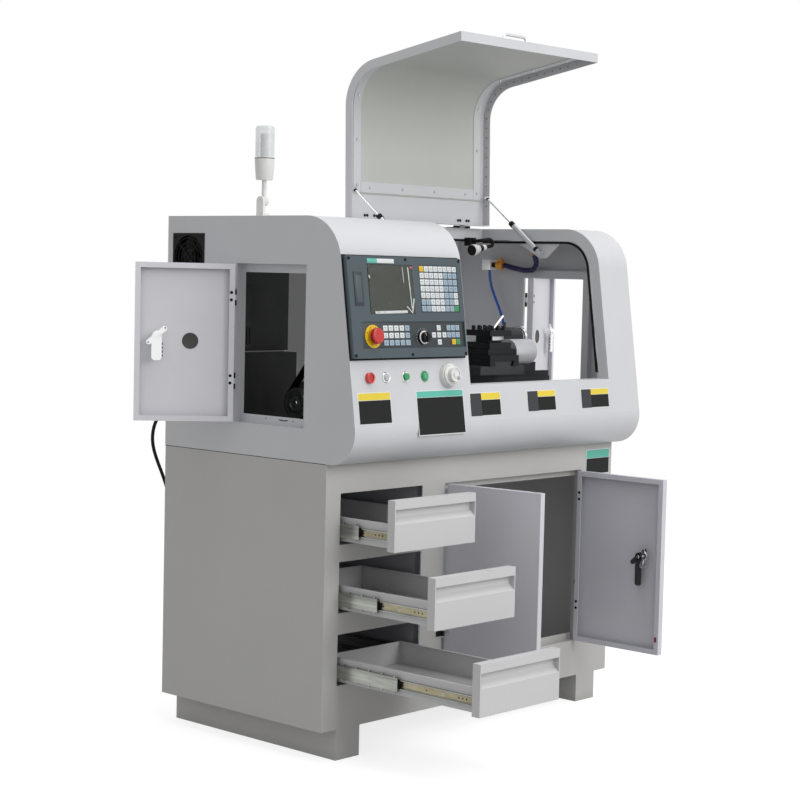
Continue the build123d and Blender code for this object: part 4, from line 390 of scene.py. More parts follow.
CUPBOARD_LEFT, CUPBOARD_RIGHT, HINGE_HEIGHTS = 445.0, 1037.0, (290.0, 605.0)
LEFT_SWING, RIGHT_SWING = swung(446.0, -4.3, -84.1), swung(1036.0, -4.3, 91.0)
HINGE_INSET, HINGE_SCREW, INWARD = 9.0, 9.3, (0, 1, 0)
KEY_X, KEY_Z, KEY_BITS = 812.0, 455.0, 4
# The cupboard doors' paint is lighter than the stand's: painted light that makes up for the shade the
# open doors stand in.
door_paint_and_light = material("door_paint_and_light", "d9d9e1", 0.45, vary=0.03, grain=300, bump=0.1, corner_shade=0.2)
steel = material("ground_steel", "c2c3c5", 0.28, metal=1.0, vary=0.08, scale=30, stretch=(1, 14, 14))
chrome = material("chrome", "e6e7e9", 0.1, metal=1.0, vary=0.03, rough_vary=0.04)
red_rubber = material("red_rubber", "7c2320", 0.6, vary=0.1, shine=0.2)
lock_zinc = material("lock_zinc", "5b5d60", 0.35, metal=0.8, vary=0.15, shine=0.3)
dress(door_paint_and_light, "cupboard_left_door", "cupboard_right_door")
dress(lock_zinc, "cupboard_lock_cam")
dress(steel, "cupboard_door_bolt")
for side, swing, x in (("left", LEFT_SWING, CUPBOARD_LEFT + HINGE_INSET),
                       ("right", RIGHT_SWING, CUPBOARD_RIGHT - HINGE_INSET)):
    screws = Piece(f"cupboard_{side}_hinge_screws")
    for z in HINGE_HEIGHTS:
        for shift in (-HINGE_SCREW, HINGE_SCREW):
            screws.disc(swing @ place(x, 19, z + shift, INWARD), 4.0, -0.4, 0.6, black_plastic)
    if side == "right":
        screws.box(swing @ place(CUPBOARD_RIGHT - 286, 19.6, 228), (6, 1.6, 14), red_rubber)
    screws.done(f"cupboard_{side}_door")
buffer = Piece("cupboard_buffers")
buffer.box(place(CUPBOARD_RIGHT - 0.6, 10, 350), (1.2, 9, 14), red_rubber)
buffer.done("frame")
keys = Piece("cupboard_keys")
keys.disc(RIGHT_SWING @ place(KEY_X, 23.2, KEY_Z, INWARD), 10, -0.2, 4.5, dark_steel, 1.0)
keys.disc(RIGHT_SWING @ place(KEY_X, 23.2, KEY_Z, INWARD), 5.5, 4.0, 6.5, steel, 0.6, sides=6)
for lean, drop in ((0.12, 0), (-0.25, 4)):
    hang = RIGHT_SWING @ place(KEY_X - 19, 26.0 + drop / 2, KEY_Z + 8 - drop, INWARD, lean)
    keys.ring(hang, 3.0, 10.0, -0.8, 0.8, chrome, 0.3, sides=20)
    keys.box(hang, (6.5, 26, 1.5), chrome, 0.3, move=(0, -22, 0))
    for bit in range(KEY_BITS):
        keys.box(hang, (2.6, 2.6, 1.4), chrome, 0.2, move=(-4.2, -17 - bit * 4.6, 0))
keys.ring(RIGHT_SWING @ place(KEY_X - 15, 25.5, KEY_Z + 16, (0.3, 1, 0)), 7.6, 9.2, -0.8, 0.8, chrome,
          0.3, sides=28)
keys.done("cupboard_lock_cam")

# Enclosure: folded sheet in a lighter powder coat, one piece from the seam over the front to the
# roof, between two side panels. Some coolant dried on the ledge of the left service opening.
SLOPE, SLOPE_Y, SLOPE_Z = 0.1447, -37.1, 1250.8
SLANT = math.atan(SLOPE)
LEDGE_X, LEDGE_LIFT = 20.0, 8
MARKS = ((244, 842.5, 5, 2), (190, 842, 12, 2.2), (178, 841, 20, 2.6), (166, 842.5, 9, 2),
         (144, 841.5, 4, 2))
shell_paint = material("shell_paint", "d5d6d9", 0.4, vary=0.02, grain=420, bump=0.05, corner_shade=0.22)
# The inner panels' paint is lighter than the shell's and glows a little: painted light in the shaded
# work area.
inner_paint_and_light = material("inner_paint_and_light", "e6e6e7", 0.5, vary=0.03, grain=420, bump=0.05, corner_shade=0.08,
                       painted_glow=0.09)
dress(shell_paint, "enclosure_left_panel", "enclosure_right_panel", "enclosure_front_and_roof")
dress(inner_paint_and_light, "enclosure_inner_panels", "back_panels")
marks = Piece("ledge_marks")
for y, z, wide, high in MARKS:
    marks.box(place(LEDGE_X, y, z + LEDGE_LIFT), (0.3, wide, high), black_plastic, bevel=0)
marks.done("frame")

# Service doors: painted pans with a black rubber plug. The latch is nickel-plated, with a wide
# tongue, two ears for the rods and a hexagon nut, and the hinges are held by black screws.
SERVICE_LOCK, PLUG_AT, SERVICE_HINGES = (142.0, 1058.0), (228.0, 1044.0), (947.0, 1161.0)
PLUG = [(0, 0.6), (17.5, 0.6), (18.5, 1.4), (20.2, 1.2), (20.8, 0.4), (20.8, -0.2), (0, -0.2)]
DOOR_AXIS, EAR_SCREWS, TONGUE_SLOTS = (-4.3, 342.0), ((21.5, 18.6), (-21.5, -18.6)), 4
SIDEWAYS = (1, 0, 0)
MIRRORED = Matrix.Translation((WIDTH, 0, 0)) @ Matrix.Scale(-1, 4, SIDEWAYS)
plug_rubber = material("plug_rubber", "4b4b48", 0.6, vary=0.08, bump=0.05, shine=0.3)
# The nickel glows a little: painted light that keeps the latches and the coolant block bright.
nickel = material("nickel_plate", "eff0f0", 0.22, metal=0.7, vary=0.04, bump=0.02, painted_glow=0.08)
# The service doors' paint is lighter than the shell's: painted light on the doors' inner faces.
service_paint_and_light = material("service_door_paint_and_light", "e8e8ee", 0.45, vary=0.03, grain=300, bump=0.1,
                         corner_shade=0.2)
dress(service_paint_and_light, "left_service_door", "right_service_door")
dress(nickel, "left_service_lock", "right_service_lock")
for side, swing in (("left", swung(*DOOR_AXIS, -128.3)),
                    ("right", MIRRORED @ swung(*DOOR_AXIS, -113.0))):
    fittings = Piece(f"{side}_service_fittings")
    fittings.turned(swing @ place(2.0, *PLUG_AT, SIDEWAYS), PLUG, plug_rubber, 48)
    for z in SERVICE_HINGES:
        for shift in (-9.5, 9.5):
            fittings.disc(swing @ place(18.0, 331.0, z + shift, SIDEWAYS), 4.0, -0.3, 0.6,
                          black_plastic)
    fittings.done(f"{side}_service_door")
    latch = Piece(f"{side}_service_latch")
    y, z = SERVICE_LOCK
    latch.disc(swing @ place(26.0, y, z, SIDEWAYS), 11, -0.2, 1.4, nickel, 0.5, sides=28)
    latch.disc(swing @ place(26.0, y, z + 1, SIDEWAYS), 7, 1.0, 5.0, nickel, 0.8, sides=6)
    for dy, dz in EAR_SCREWS:
        latch.disc(swing @ place(26.0, y + dy, z + dz, SIDEWAYS), 2.0, -0.2, 0.3, black_plastic, 0.1,
                   sides=16)
    for slot in range(TONGUE_SLOTS):
        latch.box(swing @ place(24.2, y + 13.6, z - 22 - slot * 10), (2.6, 4.4, 5.0), dark_steel, 0.3)
    latch.done(f"{side}_service_lock")

# Fan: an axial fan that cools the inside of the machine. Its square frame, ring guard and blades are
# moulded in black plastic, and the frame is screwed into a cut-out of the left panel.
fan_black = material("fan_black", "060707", 0.55, vary=0.2, grain=300, bump=0.05, shine=0.15)
dress(fan_black, "fan_frame", "fan_rotor")

# Lid: folded and rolled sheet with a clear sheet clamped behind it by screwed strips, hung from two
# black hinges. The sheet is scuffed and greyish, as it comes with its film on.
LID_AXIS = Vector((0, 400.0, 1371.5))
LID_OPEN = math.radians(91.5)
OPENED = (Matrix.Translation(LID_AXIS) @ Matrix.Rotation(-LID_OPEN, 4, "X")
          @ Matrix.Translation(-LID_AXIS))
LID_LEFT, LID_RIGHT, LID_BACK, TOP_RADIUS = 449.0, 1038.0, 396.0, 122.0
ARC_TURN = math.radians(90) - SLANT


def slope_y(z):
    """Depth of the sloping front at a height."""
    return SLOPE_Y - (SLOPE_Z - z) * SLOPE


ARC_Y = slope_y(TOP_Z) + TOP_RADIUS * math.tan(ARC_TURN / 2)
FLAT_RUN = LID_BACK - ARC_Y
ARC_RUN = TOP_RADIUS * ARC_TURN
DOWN_FRONT = Vector((0, -math.sin(SLANT), -math.cos(SLANT)))


def lid_spot(x, distance, inset):
    """A point of the closed lid, from its back edge along the skin, and its outward direction."""
    turned_by = min(ARC_TURN, max(0.0, distance - FLAT_RUN) / TOP_RADIUS)
    out = Vector((0, -math.sin(turned_by), math.cos(turned_by)))
    spot = Vector((x, ARC_Y, TOP_Z - TOP_RADIUS)) + out * (TOP_RADIUS - inset)
    spot.y += max(0.0, FLAT_RUN - distance)
    spot += DOWN_FRONT * max(0.0, distance - FLAT_RUN - ARC_RUN)
    return spot, out


def on_strip(x, distance):
    """A place on a clamp strip of the opened lid, local Z pointing into the machine."""
    spot, out = lid_spot(x, distance, 7.0)
    return OPENED @ place(*spot, -out)


BOLT = [(0, -1), (4.4, -1), (4.4, 0.6), (3.2, 2.2), (0, 2.8)]
HINGE_BOLT = [(0, -0.5), (4, -0.5), (4, 1.6), (2.6, 2.6), (0, 2.8)]
LID_HINGES, HINGE_BOLTS, STRIP_INSET = (548.0, 944.0), (-24, -14, 14, 24), 39.0
sheet_film = material("clear_window", "cfd1cb", 0.5, vary=0.02, bump=0.03, shine=0.3, alpha=0.9)
dress(shell_paint, "lid_frame", "lid_clamp_strips")
dress(sheet_film, "lid_window")
dress(chrome, "lid_handle")
fasteners = Piece("lid_fasteners")
for x in (LID_LEFT + STRIP_INSET, LID_RIGHT - STRIP_INSET):
    for number in range(6):
        fasteners.turned(on_strip(x, 96 + number * 126), BOLT, steel, 16)
for number in range(4):
    fasteners.turned(on_strip(LID_LEFT + 90 + number * 136, 92), BOLT, steel, 16)
for x in LID_HINGES:
    for side in HINGE_BOLTS:
        spot, out = lid_spot(x + side, 14, 2.0)
        fasteners.turned(OPENED @ place(*spot, -out), HINGE_BOLT, black_plastic, 16)
for number in range(24):
    spot, out = lid_spot(LID_RIGHT - 1.9, 60 + number * 29, 12.5)
    fasteners.disc(OPENED @ place(*spot, (-1, 0, 0)), 2.4, -0.2, 0.35, plated, 0.1, sides=12)
for number in range(13):
    spot, out = lid_spot(LID_LEFT + 1.9, 100 + number * 52, 12.5)
    fasteners.disc(OPENED @ place(*spot, (1, 0, 0)), 2.2, -0.2, 0.35, dark_steel, 0.1, sides=12)
fasteners.done("lid")

# Seal of the work opening: black rubber pressed on the inner edge of the folded returns, with a
# bright bead in front of it.
SEAL_LEFT, SEAL_RIGHT, STRAIGHT_RUN, BACK_GAP = 443.0, 1044.0, 300.0, 4
SEAL_BETWEEN, BEAD_BETWEEN = (36.0, 42.5), (33.4, 35.0)
rubber = material("black_rubber", "0e0e0f", 0.6, vary=0.15, grain=200, bump=0.05, shine=0.2)
seal = Piece("opening_seal")


def along_opening(x0, x1, low, high, finish):
    """A strip that follows the opening's side, from the back over the curve and down."""
    section = [(x, LID_BACK + BACK_GAP, TOP_Z - inset)
               for x, inset in ((x0, low), (x1, low), (x1, high), (x0, high))]
    centre = (0, ARC_Y, TOP_Z - TOP_RADIUS)
    seal.swept(Matrix(), section, [[(0, ARC_Y - LID_BACK - BACK_GAP, 0)],
                                   [centre, (1, 0, 0), ARC_TURN, 20],
                                   [DOWN_FRONT * STRAIGHT_RUN]], finish)


for x, way in ((SEAL_LEFT, 1), (SEAL_RIGHT, -1)):
    along_opening(x - way * 3.0, x + way * 2.6, *SEAL_BETWEEN, rubber)
    along_opening(x, x + way * 1.0, *BEAD_BETWEEN, chrome)
seal.box(place((SEAL_LEFT + SEAL_RIGHT) / 2, 402.4, TOP_Z - SEAL_BETWEEN[0]),
         (SEAL_RIGHT - SEAL_LEFT, 3.2, 7), rubber, 0.6)
seal.done("frame")

# Gas struts: two gas springs that hold the lid up. Bright steel rods slide in aluminium-coloured
# bodies with black collars, and black plastic ball sockets clip on studs at both ends.
STRUT_Y, STRUT_Z, STRUT_ANGLE = 170.0, 1300.0, math.radians(37.820)
STRUT_BODY, STRUT_LENGTH = 140.0, 261.18
silver_paint = material("silver_paint", "c6c8cb", 0.3, metal=0.8, vary=0.05)
dress(silver_paint, "strut_cylinders")
dress(chrome, "strut_rods")
strut_way = Vector((0, math.cos(STRUT_ANGLE), math.sin(STRUT_ANGLE)))
collars = Piece("strut_collars")
tips = Piece("strut_eyes")
for x in (461.0, 1026.0):
    low = place(x, STRUT_Y, STRUT_Z, strut_way)
    collars.ring(low, 3.3, 8.2, STRUT_BODY - 16, STRUT_BODY + 0.3, black_plastic, 1.2)
    collars.disc(low, 7.9, 8.5, 20, black_plastic, 1.0)
    tips.ring(low, 3.05, 4.9, STRUT_LENGTH - 8.3, STRUT_LENGTH - 4.2, black_plastic, 0.6)
collars.done("strut_cylinders")
tips.done("strut_rods")

# Controller: slate moulded bezel with a thin black strip round its edge, held by socket screws, with a
# dark screen under crinkled film, membrane keys and a plain plate. A port cover sits at the left.


def front(x, z, proud=0.0):
    """A place on the sloping front: local Z out of it, local Y up it."""
    out = Vector((0, -math.cos(SLANT), math.sin(SLANT)))
    along = Vector((1, 0, 0))
    spot = Vector((x, slope_y(z), z)) + out * proud
    return Matrix.Translation(spot) @ Matrix((along, out.cross(along), out)).transposed().to_4x4()


PANEL_X, PANEL_Z, PANEL_WIDE, PANEL_HIGH, PANEL_PROUD = 215.0, 1143.5, 422.0, 254.0, 14.0
PORT_AT, LABEL_Z, EDGE_STRIP = (38, 1188), 1257.5, 4
SCREW = [(0, 1.1), (1.8, 1.1), (2.0, 2.2), (3.2, 2.2), (4.0, 1.3), (4.0, -1), (0, -1)]
slate = material("slate_plastic", "3f4e55", 0.4, vary=0.06, grain=500, bump=0.05)
slate_dark = material("slate_dark", "232c31", 0.45, vary=0.08, grain=420, bump=0.04)
screen_green = material("screen_pane", "24251a", 0.3, vary=0.2, scale=30, shine=0.15)
label_white = material("label_white", "e3e5e5", 0.35, vary=0.02)
label_teal = material("label_teal", "5cc0ab", 0.35, vary=0.03)
red_plastic = material("red_plastic", "c21d1a", 0.3, vary=0.06, coat=0.3)
dress(slate, "controller_housing")
dress(screen_green, "controller_screen")
trim = Piece("controller_trim")
for x in (PANEL_X - PANEL_WIDE / 2 + 7, PANEL_X, PANEL_X + PANEL_WIDE / 2 - 7):
    for z in (PANEL_Z - PANEL_HIGH / 2 + 8, PANEL_Z + PANEL_HIGH / 2 - 8):
        trim.turned(front(x, z, PANEL_PROUD), SCREW, black_plastic, 20)
trim.box(front(*PORT_AT, PANEL_PROUD + 0.6), (30, 84, 2.4), slate_dark)
trim.box(front(*PORT_AT, PANEL_PROUD + 1.9), (19, 66, 0.8), slate, 0.3)
trim.box(front(92, LABEL_Z, PANEL_PROUD + 0.3), (34, 11, 1.2), label_teal, 0.2)
trim.box(front(141, LABEL_Z, PANEL_PROUD + 0.3), (62, 11, 1.2), label_white, 0.2)
trim.box(front(233, 1243, PANEL_PROUD + 0.6), (9, 6, 2), red_plastic, 0.4)
edge_strip_x, edge_strip_z = (PANEL_WIDE + EDGE_STRIP) / 2, (PANEL_HIGH + EDGE_STRIP) / 2
for wide, high, dx, dz in ((EDGE_STRIP, PANEL_HIGH + 2 * EDGE_STRIP, -edge_strip_x, 0),
                           (EDGE_STRIP, PANEL_HIGH + 2 * EDGE_STRIP, edge_strip_x, 0),
                           (PANEL_WIDE, EDGE_STRIP, 0, -edge_strip_z), (PANEL_WIDE, EDGE_STRIP, 0, edge_strip_z)):
    trim.box(front(PANEL_X, PANEL_Z, 0.7) @ Matrix.Translation((dx, dz, 0)), (wide, high, 1.4),
             black_plastic, 0.4)
trim.done("frame")

# Screen film: the clear protective film that is still on the controller's screen. It is thin and
# crinkled and clings by itself; its bright folds and lifted edges are painted reflections.
SCREEN_AT, SCREEN_SIZE, FILM_THICK = (156.5, 1188.0), (165.0, 123.0), 0.2
FILM_GLINTS = ((-8, -58, 118, 7, 0.02), (66, 4, 3.4, 104, 0.05), (74, -40, 4, 34, -0.25),
         (60, -52, 26, 3, -0.7), (44, 36, 2, 40, 0.06), (-79, 30, 5, 8, 0.3))
film = material("screen_film", "aab0a8", 0.08, vary=0.02, coat=0.3, alpha=0.09)
film_painted_glint = material("film_painted_glint", "dfe3e4", 0.15, vary=0.12, scale=60, alpha=0.85)
wrap = bmesh.new()
bmesh.ops.create_grid(wrap, x_segments=44, y_segments=34, size=0.5)
bmesh.ops.scale(wrap, vec=(SCREEN_SIZE[0] - 2, SCREEN_SIZE[1] - 2, 1), verts=wrap.verts)
for vert in wrap.verts:
    vert.co.z = 2.2 + 2.4 * noise.noise(vert.co * 0.06) + 1.6 * noise.noise(vert.co * 0.18)
bmesh.ops.solidify(wrap, geom=wrap.faces, thickness=FILM_THICK)
cover = Piece("screen_film")
cover.keep(wrap, front(*SCREEN_AT, PANEL_PROUD - 0.5), film)
# The pale strips are painted reflections on the film's folds and lifted edges.
for dx, dz, wide, high, lean in FILM_GLINTS:
    glint_place = Matrix.Translation((dx, dz, 0)) @ Matrix.Rotation(lean, 4, "Z")
    cover.box(front(*SCREEN_AT, PANEL_PROUD + 1.6) @ glint_place, (wide, high, 0.5), film_painted_glint, 0.2)
cover.done("frame", smooth=180.0)

# Keys: membrane sheets with raised pale and blue caps that bear small dark marks. They are glued in
# recesses of the bezel, one beside the screen and one below it.
KEYPAD_AT, KEYPAD_SIZE = (334.5, 1190.0), (147.0, 121.0)
LOWER_AT, LOWER_SIZE = (230.0, 1074.5), (382.0, 66.0)
KEY_LOW = PANEL_PROUD - 1.5
LOWER_KEY = KEY_LOW - 0.7
COLUMNS, ROWS, PITCH_X, PITCH_Z = 8, 7, 17.9, 16.8
LOWER_Z, LOWER_PITCH, AXIS_KEYS = 1073, 18, ((0, 0), (-20, 0), (20, 0), (0, 18), (0, -18))
DIAL_DOTS, DIAL_RADIUS, DIAL_FROM, DIAL_SWEEP = 15, 23, 215, 250
key_white = material("key_white", "dfe3e4", 0.4, vary=0.03)
key_blue = material("key_blue", "9fb3c3", 0.4, vary=0.05)
yellow = material("yellow_plastic", "eabf14", 0.35, vary=0.04)
green_key = material("green_key", "2f9a5a", 0.35, vary=0.05)
keys = Piece("key_sheets")
for spot, size, low in ((KEYPAD_AT, KEYPAD_SIZE, KEY_LOW + 0.4), (LOWER_AT, LOWER_SIZE, KEY_LOW - 1.1)):
    keys.box(front(*spot, low), (size[0] - 1, size[1] - 1, 0.8), slate_dark, 0.1)


def key(x, z, wide, high, low, finish, shift):
    """One key cap with small dark marks."""
    keys.box(front(x, z, low + 0.8), (wide, high, 1.6), finish, 0.35)
    keys.box(front(x - shift, z + 2, low + 1.62), (wide * 0.4, 1.2, 0.12), slate_dark, bevel=0)
    keys.box(front(x + shift, z - 1.8, low + 1.62), (wide * 0.24, 1.2, 0.12), slate_dark, bevel=0)


for column in range(COLUMNS):
    for row in range(ROWS):
        blue = (column > 4 and row > 0 and (column < 7 or row < 4)) or (column < 2 and row > 4)
        tint = key_blue if blue else key_white
        if (column, row) == (0, 0):
            tint = yellow
        elif (column, row) == (COLUMNS - 1, ROWS - 1):
            tint = green_key
        key(KEYPAD_AT[0] + (column - 3.5) * PITCH_X, KEYPAD_AT[1] - (row - 3) * PITCH_Z, 15.4, 14,
            KEY_LOW + 0.8, tint, (column + row) % 3 - 1)
for column in range(5):
    for row in range(3):
        key(163 + (column - 2) * 20, LOWER_Z - (row - 1) * LOWER_PITCH, 16, 13.5, LOWER_KEY,
            key_blue if column == 4 or row == 2 else key_white, column % 2)
for dx, dz in AXIS_KEYS:
    key(322 + dx, LOWER_Z + dz, 14.5, 13.5, LOWER_KEY, key_white, 0)
for column, tints in enumerate(((key_blue, key_blue), (key_blue, key_blue, yellow),
                                (key_blue, key_blue, green_key))):
    for row, tint in enumerate(tints):
        key(377 + (column - 1) * 17, LOWER_Z - (row - 1) * LOWER_PITCH, 14.5, 13.5, LOWER_KEY, tint, 1)
for number in range(DIAL_DOTS):
    angle = math.radians(DIAL_FROM - number * DIAL_SWEEP / (DIAL_DOTS - 1))
    keys.box(front(260 + DIAL_RADIUS * math.cos(angle), 1067 + DIAL_RADIUS * math.sin(angle),
                   LOWER_KEY + 0.2), (1.4, 1.4, 0.5), key_white, bevel=0)
keys.done("frame", ("controller_keys",))

# Controls: a red mushroom head on a yellow ring, a feed knob with a white pointer ring, a clear red
# button, a grey lamp, a green lens, a green button and a moulded pulse wheel in a white housing.
ESTOP, FEED_KNOB, HANDWHEEL, BUTTON_Z = (77.0, 1071.0), (260.0, 1067.0), (356.0, 970.0), 970.5
RING_LOW = PANEL_PROUD - 2.2
COLLAR = [(9, RING_LOW), (12.4, RING_LOW), (12.4, 16.6), (11.6, 17.4), (9, 17.4), (9, RING_LOW)]
LENS = [(0, 0.5), (9.1, 0.5), (9.1, 4), (7.4, 5.8), (0, 6.2)]
WHEEL_BASE = [(5.2, 0), (31, 0), (31, 8), (30, 11.2), (28, 11.2), (28, 16.6), (27, 17.3),
              (5.2, 17.3), (5.2, 0)]
RING_MARKS, WHEEL_MARKS = 8, 50
white_plastic = material("white_plastic", "e6e6e3", 0.35, vary=0.02)
# The clear red and clear green glow a little: painted light, as neither is a lit lamp.
clear_red = material("clear_red", "d2261f", 0.12, vary=0.12, coat=0.8, painted_glow=0.08)
clear_green = material("clear_green", "2f9e6c", 0.12, vary=0.1, coat=0.8, painted_glow=0.1)
clear_grey = material("clear_grey", "b8bbbb", 0.12, vary=0.06, coat=0.8)
dress(red_plastic, "emergency_stop_head", "red_button")
dress(green_key, "green_button")
dress(black_plastic, "feed_override_knob")
dress(white_plastic, "pulse_handwheel", "signal_lamp_foot")
rings = Piece("control_bezels")
rings.ring(front(*ESTOP), 12, 29, RING_LOW, RING_LOW + 3, yellow, 0.8, 48)
for number in range(RING_MARKS):
    angle = math.radians(22 + number * 45)
    rings.disc(front(ESTOP[0] + 23.5 * math.cos(angle), ESTOP[1] + 23.5 * math.sin(angle)), 1.5,
               RING_LOW + 2.6, RING_LOW + 3.25, slate_dark, 0.1, sides=12)
rings.turned(front(*ESTOP), COLLAR, white_plastic, 40)
for x, rim_finish, high, lens in ((64.0, clear_red, 9.5, None), (125.0, chrome, 3, clear_grey),
                                  (196.0, chrome, 3, None), (267.0, green_key, 3, clear_green)):
    rings.turned(front(x, BUTTON_Z), [(9, 0), (13.6, 0), (13.6, high - 1.4), (12.4, high),
                                      (10.2, high), (9.2, high - 0.6), (9, 0)], rim_finish, 40)
    if lens:
        rings.turned(front(x, BUTTON_Z), LENS, lens)
rings.turned(front(*HANDWHEEL), WHEEL_BASE, white_plastic, 56)
for number in range(WHEEL_MARKS):
    reach = 3.4 if number % 5 == 0 else 1.9
    around = front(*HANDWHEEL) @ Matrix.Rotation(math.radians(number * 7.2), 4, "Z")
    rings.box(around, (reach, 0.5, 0.14), slate_dark, bevel=0, move=(26.6 - reach / 2, 0, 17.34))
rings.done("frame", ("control_rings",))
pointer = Piece("feed_pointer_ring")
pointer.ring(front(*FEED_KNOB), 13.05, 17.2, 16.3, 17.2, white_plastic, 0.3, 40)
pointer.box(front(*FEED_KNOB) @ Matrix.Rotation(0.5, 4, "Z"), (1.6, 12, 0.5), white_plastic, 0.1,
            move=(0, 5, 27.4))
pointer.done("feed_override_knob")

# Plates: thin plastic sheets with a light edge, a dark field and a plain coloured band. They are
# glued to the sloping front of the enclosure, in a row below the controls, and to the stand.
label_yellow = material("label_yellow", "efd63a", 0.35, vary=0.03)
label_black = material("label_black", "0d0e0f", 0.45, vary=0.1, shine=0.2)
label_grey = material("label_grey", "3a3d40", 0.45, vary=0.1, shine=0.2)
PLATES = ((76.32, 895.70, 118.72, 80.56, label_yellow, 0.24, False),
          (319.59, 877.15, 181.26, 115.54, label_teal, 0.15, False),
          (496.61, 891.46, 126.14, 63.60, label_yellow, 0.3, True),
          (732.46, 893.05, 125.08, 58.30, label_yellow, 0.3, True),
          (972.55, 891.99, 130.38, 56.18, label_yellow, 0.3, True))
STAND_PLATE = Matrix.Translation((1113, -0.2, 697)) @ Matrix.Rotation(math.radians(90), 4, "X")
plates = Piece("plain_plates")


def plate(where, wide, high, band, share):
    """A thin plate with a light edge, a dark field and a plain band on top."""
    field, edge_proud = 1 - share, 0.2
    plates.box(where, (wide, high, 0.3), label_white, 0.1)
    plates.box(where, (wide - 5, high * field - 4, 0.2), label_black, bevel=0,
               move=(0, -high * share / 2 + 1, edge_proud))
    plates.box(where, (wide - 5, high * share - 2, 0.2), band, bevel=0,
               move=(0, high * field / 2 - 1, edge_proud))


for x, z, wide, high, band, share, patched in PLATES:
    plate(front(x, z, 0.2), wide, high, band, share)
    if patched:
        plates.box(front(x, z, 0.2), (44, high - 4, 0.2), label_grey, bevel=0,
                   move=(25 - wide / 2, 0, 0.32))
plate(STAND_PLATE, 112, 74, label_teal, 0.34)
plates.done("frame")

# Signal lamp: a beacon on the roof, with a clear ribbed lens over a white core. It is moulded in
# white plastic, and its stem turns in a foot that three screws hold.
LAMP_LOW, LAMP_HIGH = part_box("signal_lamp_head")
LAMP_X, LAMP_Y = (((LAMP_LOW + LAMP_HIGH) / 2 - SHIFT) * 1000).xy
STEM = Matrix.Translation((LAMP_X, LAMP_Y, 0))
KNUCKLE = Matrix.Translation((0, LAMP_Y, 1412)) @ Matrix.Rotation(math.radians(90), 4, "Y")
HOUSING = [(0, 1468), (22, 1468), (23, 1470), (26.6, 1518), (26.6, 1524), (0, 1524)]
RIBS, RIB_START, RIB_PITCH = 10, 1527, 7.6
clear_lens = material("clear_lens", "e3e8ea", 0.1, vary=0.02, coat=0.5, alpha=0.45)
beacon = Piece("signal_lamp")
beacon.disc(KNUCKLE, 12.5, LAMP_X - 7.5, LAMP_X + 7.5, white_plastic, 1.5, 32)
beacon.disc(STEM, 6.5, 1416, 1470, white_plastic)
beacon.turned(STEM, HOUSING, white_plastic, 48)
beacon.disc(STEM, 12, 1523, 1592, white_plastic, 4.0)
lens_profile = [(26.2, 1523)]
for number in range(RIBS):
    low = RIB_START + number * RIB_PITCH
    lens_profile += [(26.2, low), (25.2, low + RIB_PITCH / 2)]
lens_profile += [(26.2, 1603), (24, 1609), (16, 1611.5), (0, 1611.8)]
beacon.turned(STEM, lens_profile, clear_lens, 48)
beacon.ring(STEM, 24.6, 26.5, 1524, 1526, dark_steel, 0.3, 48)
beacon.done("signal_lamp_head", ("signal_lamp_head",))
foot_screws = Piece("signal_lamp_screws")
for number in range(3):
    angle = math.radians(90 + number * 120)
    foot_screws.disc(STEM @ Matrix.Translation((24 * math.cos(angle), 24 * math.sin(angle), 0)), 2.6,
                     1373, 1375.2, black_plastic, 0.4, sides=16)
foot_screws.done("frame")

# Work light: a black flexible arm of wound steel, clamped to the rear edge of the opening, with a
# white plastic head that lights the chuck.
LIGHT_HEAD = [(0, -3), (8.9, -3), (9.6, 2), (9.6, 22), (13, 34), (16.6, 50), (16.6, 62), (15, 62),
              (13, 56), (0, 54)]
dress(black_plastic, "work_light")
work_head = Piece("work_light_head")
work_head.turned(place(966, 330, 1311, (-46, -4, -7)), LIGHT_HEAD, white_plastic, 40)
work_head.done("frame")

# Spindle, bed and slides: cast and ground iron bolted to the tray, dark except for the ground ways
# and the chuck. A pale motor drives the cross slide, and the turret holds steel tools.
TURRET_Y, MOTOR_AT = 118, (831, 118, 1015.6)
MOTOR_BODY = [(0, -0.6), (35.4, -0.6), (35.5, 90.2), (28.5, 97.3), (21.4, 102.6), (0, 103.2)]
iron = material("painted_iron", "2c2f31", 0.42, vary=0.12, grain=160, bump=0.12, corner_shade=0.3, shine=0.45)
blackened = material("blackened_steel", "1e2022", 0.36, metal=0.5, vary=0.15, grain=200, bump=0.06,
                     shine=0.3)
motor_paint = material("motor_paint", "cfd1d4", 0.3, metal=0.15, vary=0.05, coat=0.2)
dress(iron, "lathe_bed", "headstock", "carriage", "tailstock")
dress(blackened, "turret_head", "cross_slide")
dress(steel, "spindle", "tailstock_quill")
dress(chrome, "tailstock_handwheel")
motor = Piece("cross_slide_motor")
motor.turned(place(*MOTOR_AT, (1, 0, 0)), MOTOR_BODY, motor_paint, 56)
motor.done("cross_slide")
tools = Piece("turret_tools")
for z in (1056, 1034):
    tools.box(place(745, TURRET_Y - 36, z), (50, 3, 12), steel, 0.5)
tools.disc(place(765, TURRET_Y, 1080, (0.8, 0, 0.7)), 3.8, -4, 56, chrome, 1.0, 20)
tools.done("turret_head")

# Drive belt: black toothed rubber, stretched over the motor's pulley and the spindle's pulley. The
# motor's pulley is turned from steel and keyed on its shaft.
BELT_X, BELT_WIDE, BELT_THICK = 281.5, 29.0, 2.4
PULLEYS = ((240.0, 1052.0, 56.5), (405.0, 870.0, 43.5))
(y1, z1, r1), (y2, z2, r2) = PULLEYS
leaning = math.atan2(z1 - z2, y1 - y2)
offset = math.acos((r1 - r2) / math.hypot(y1 - y2, z1 - z2))
high_side, low_side = leaning - offset, leaning + offset


def rim(y, z, radius, angle):
    """A point of a pulley's rim, seen along the spindle."""
    return Vector((0, y + radius * math.cos(angle), z + radius * math.sin(angle)))


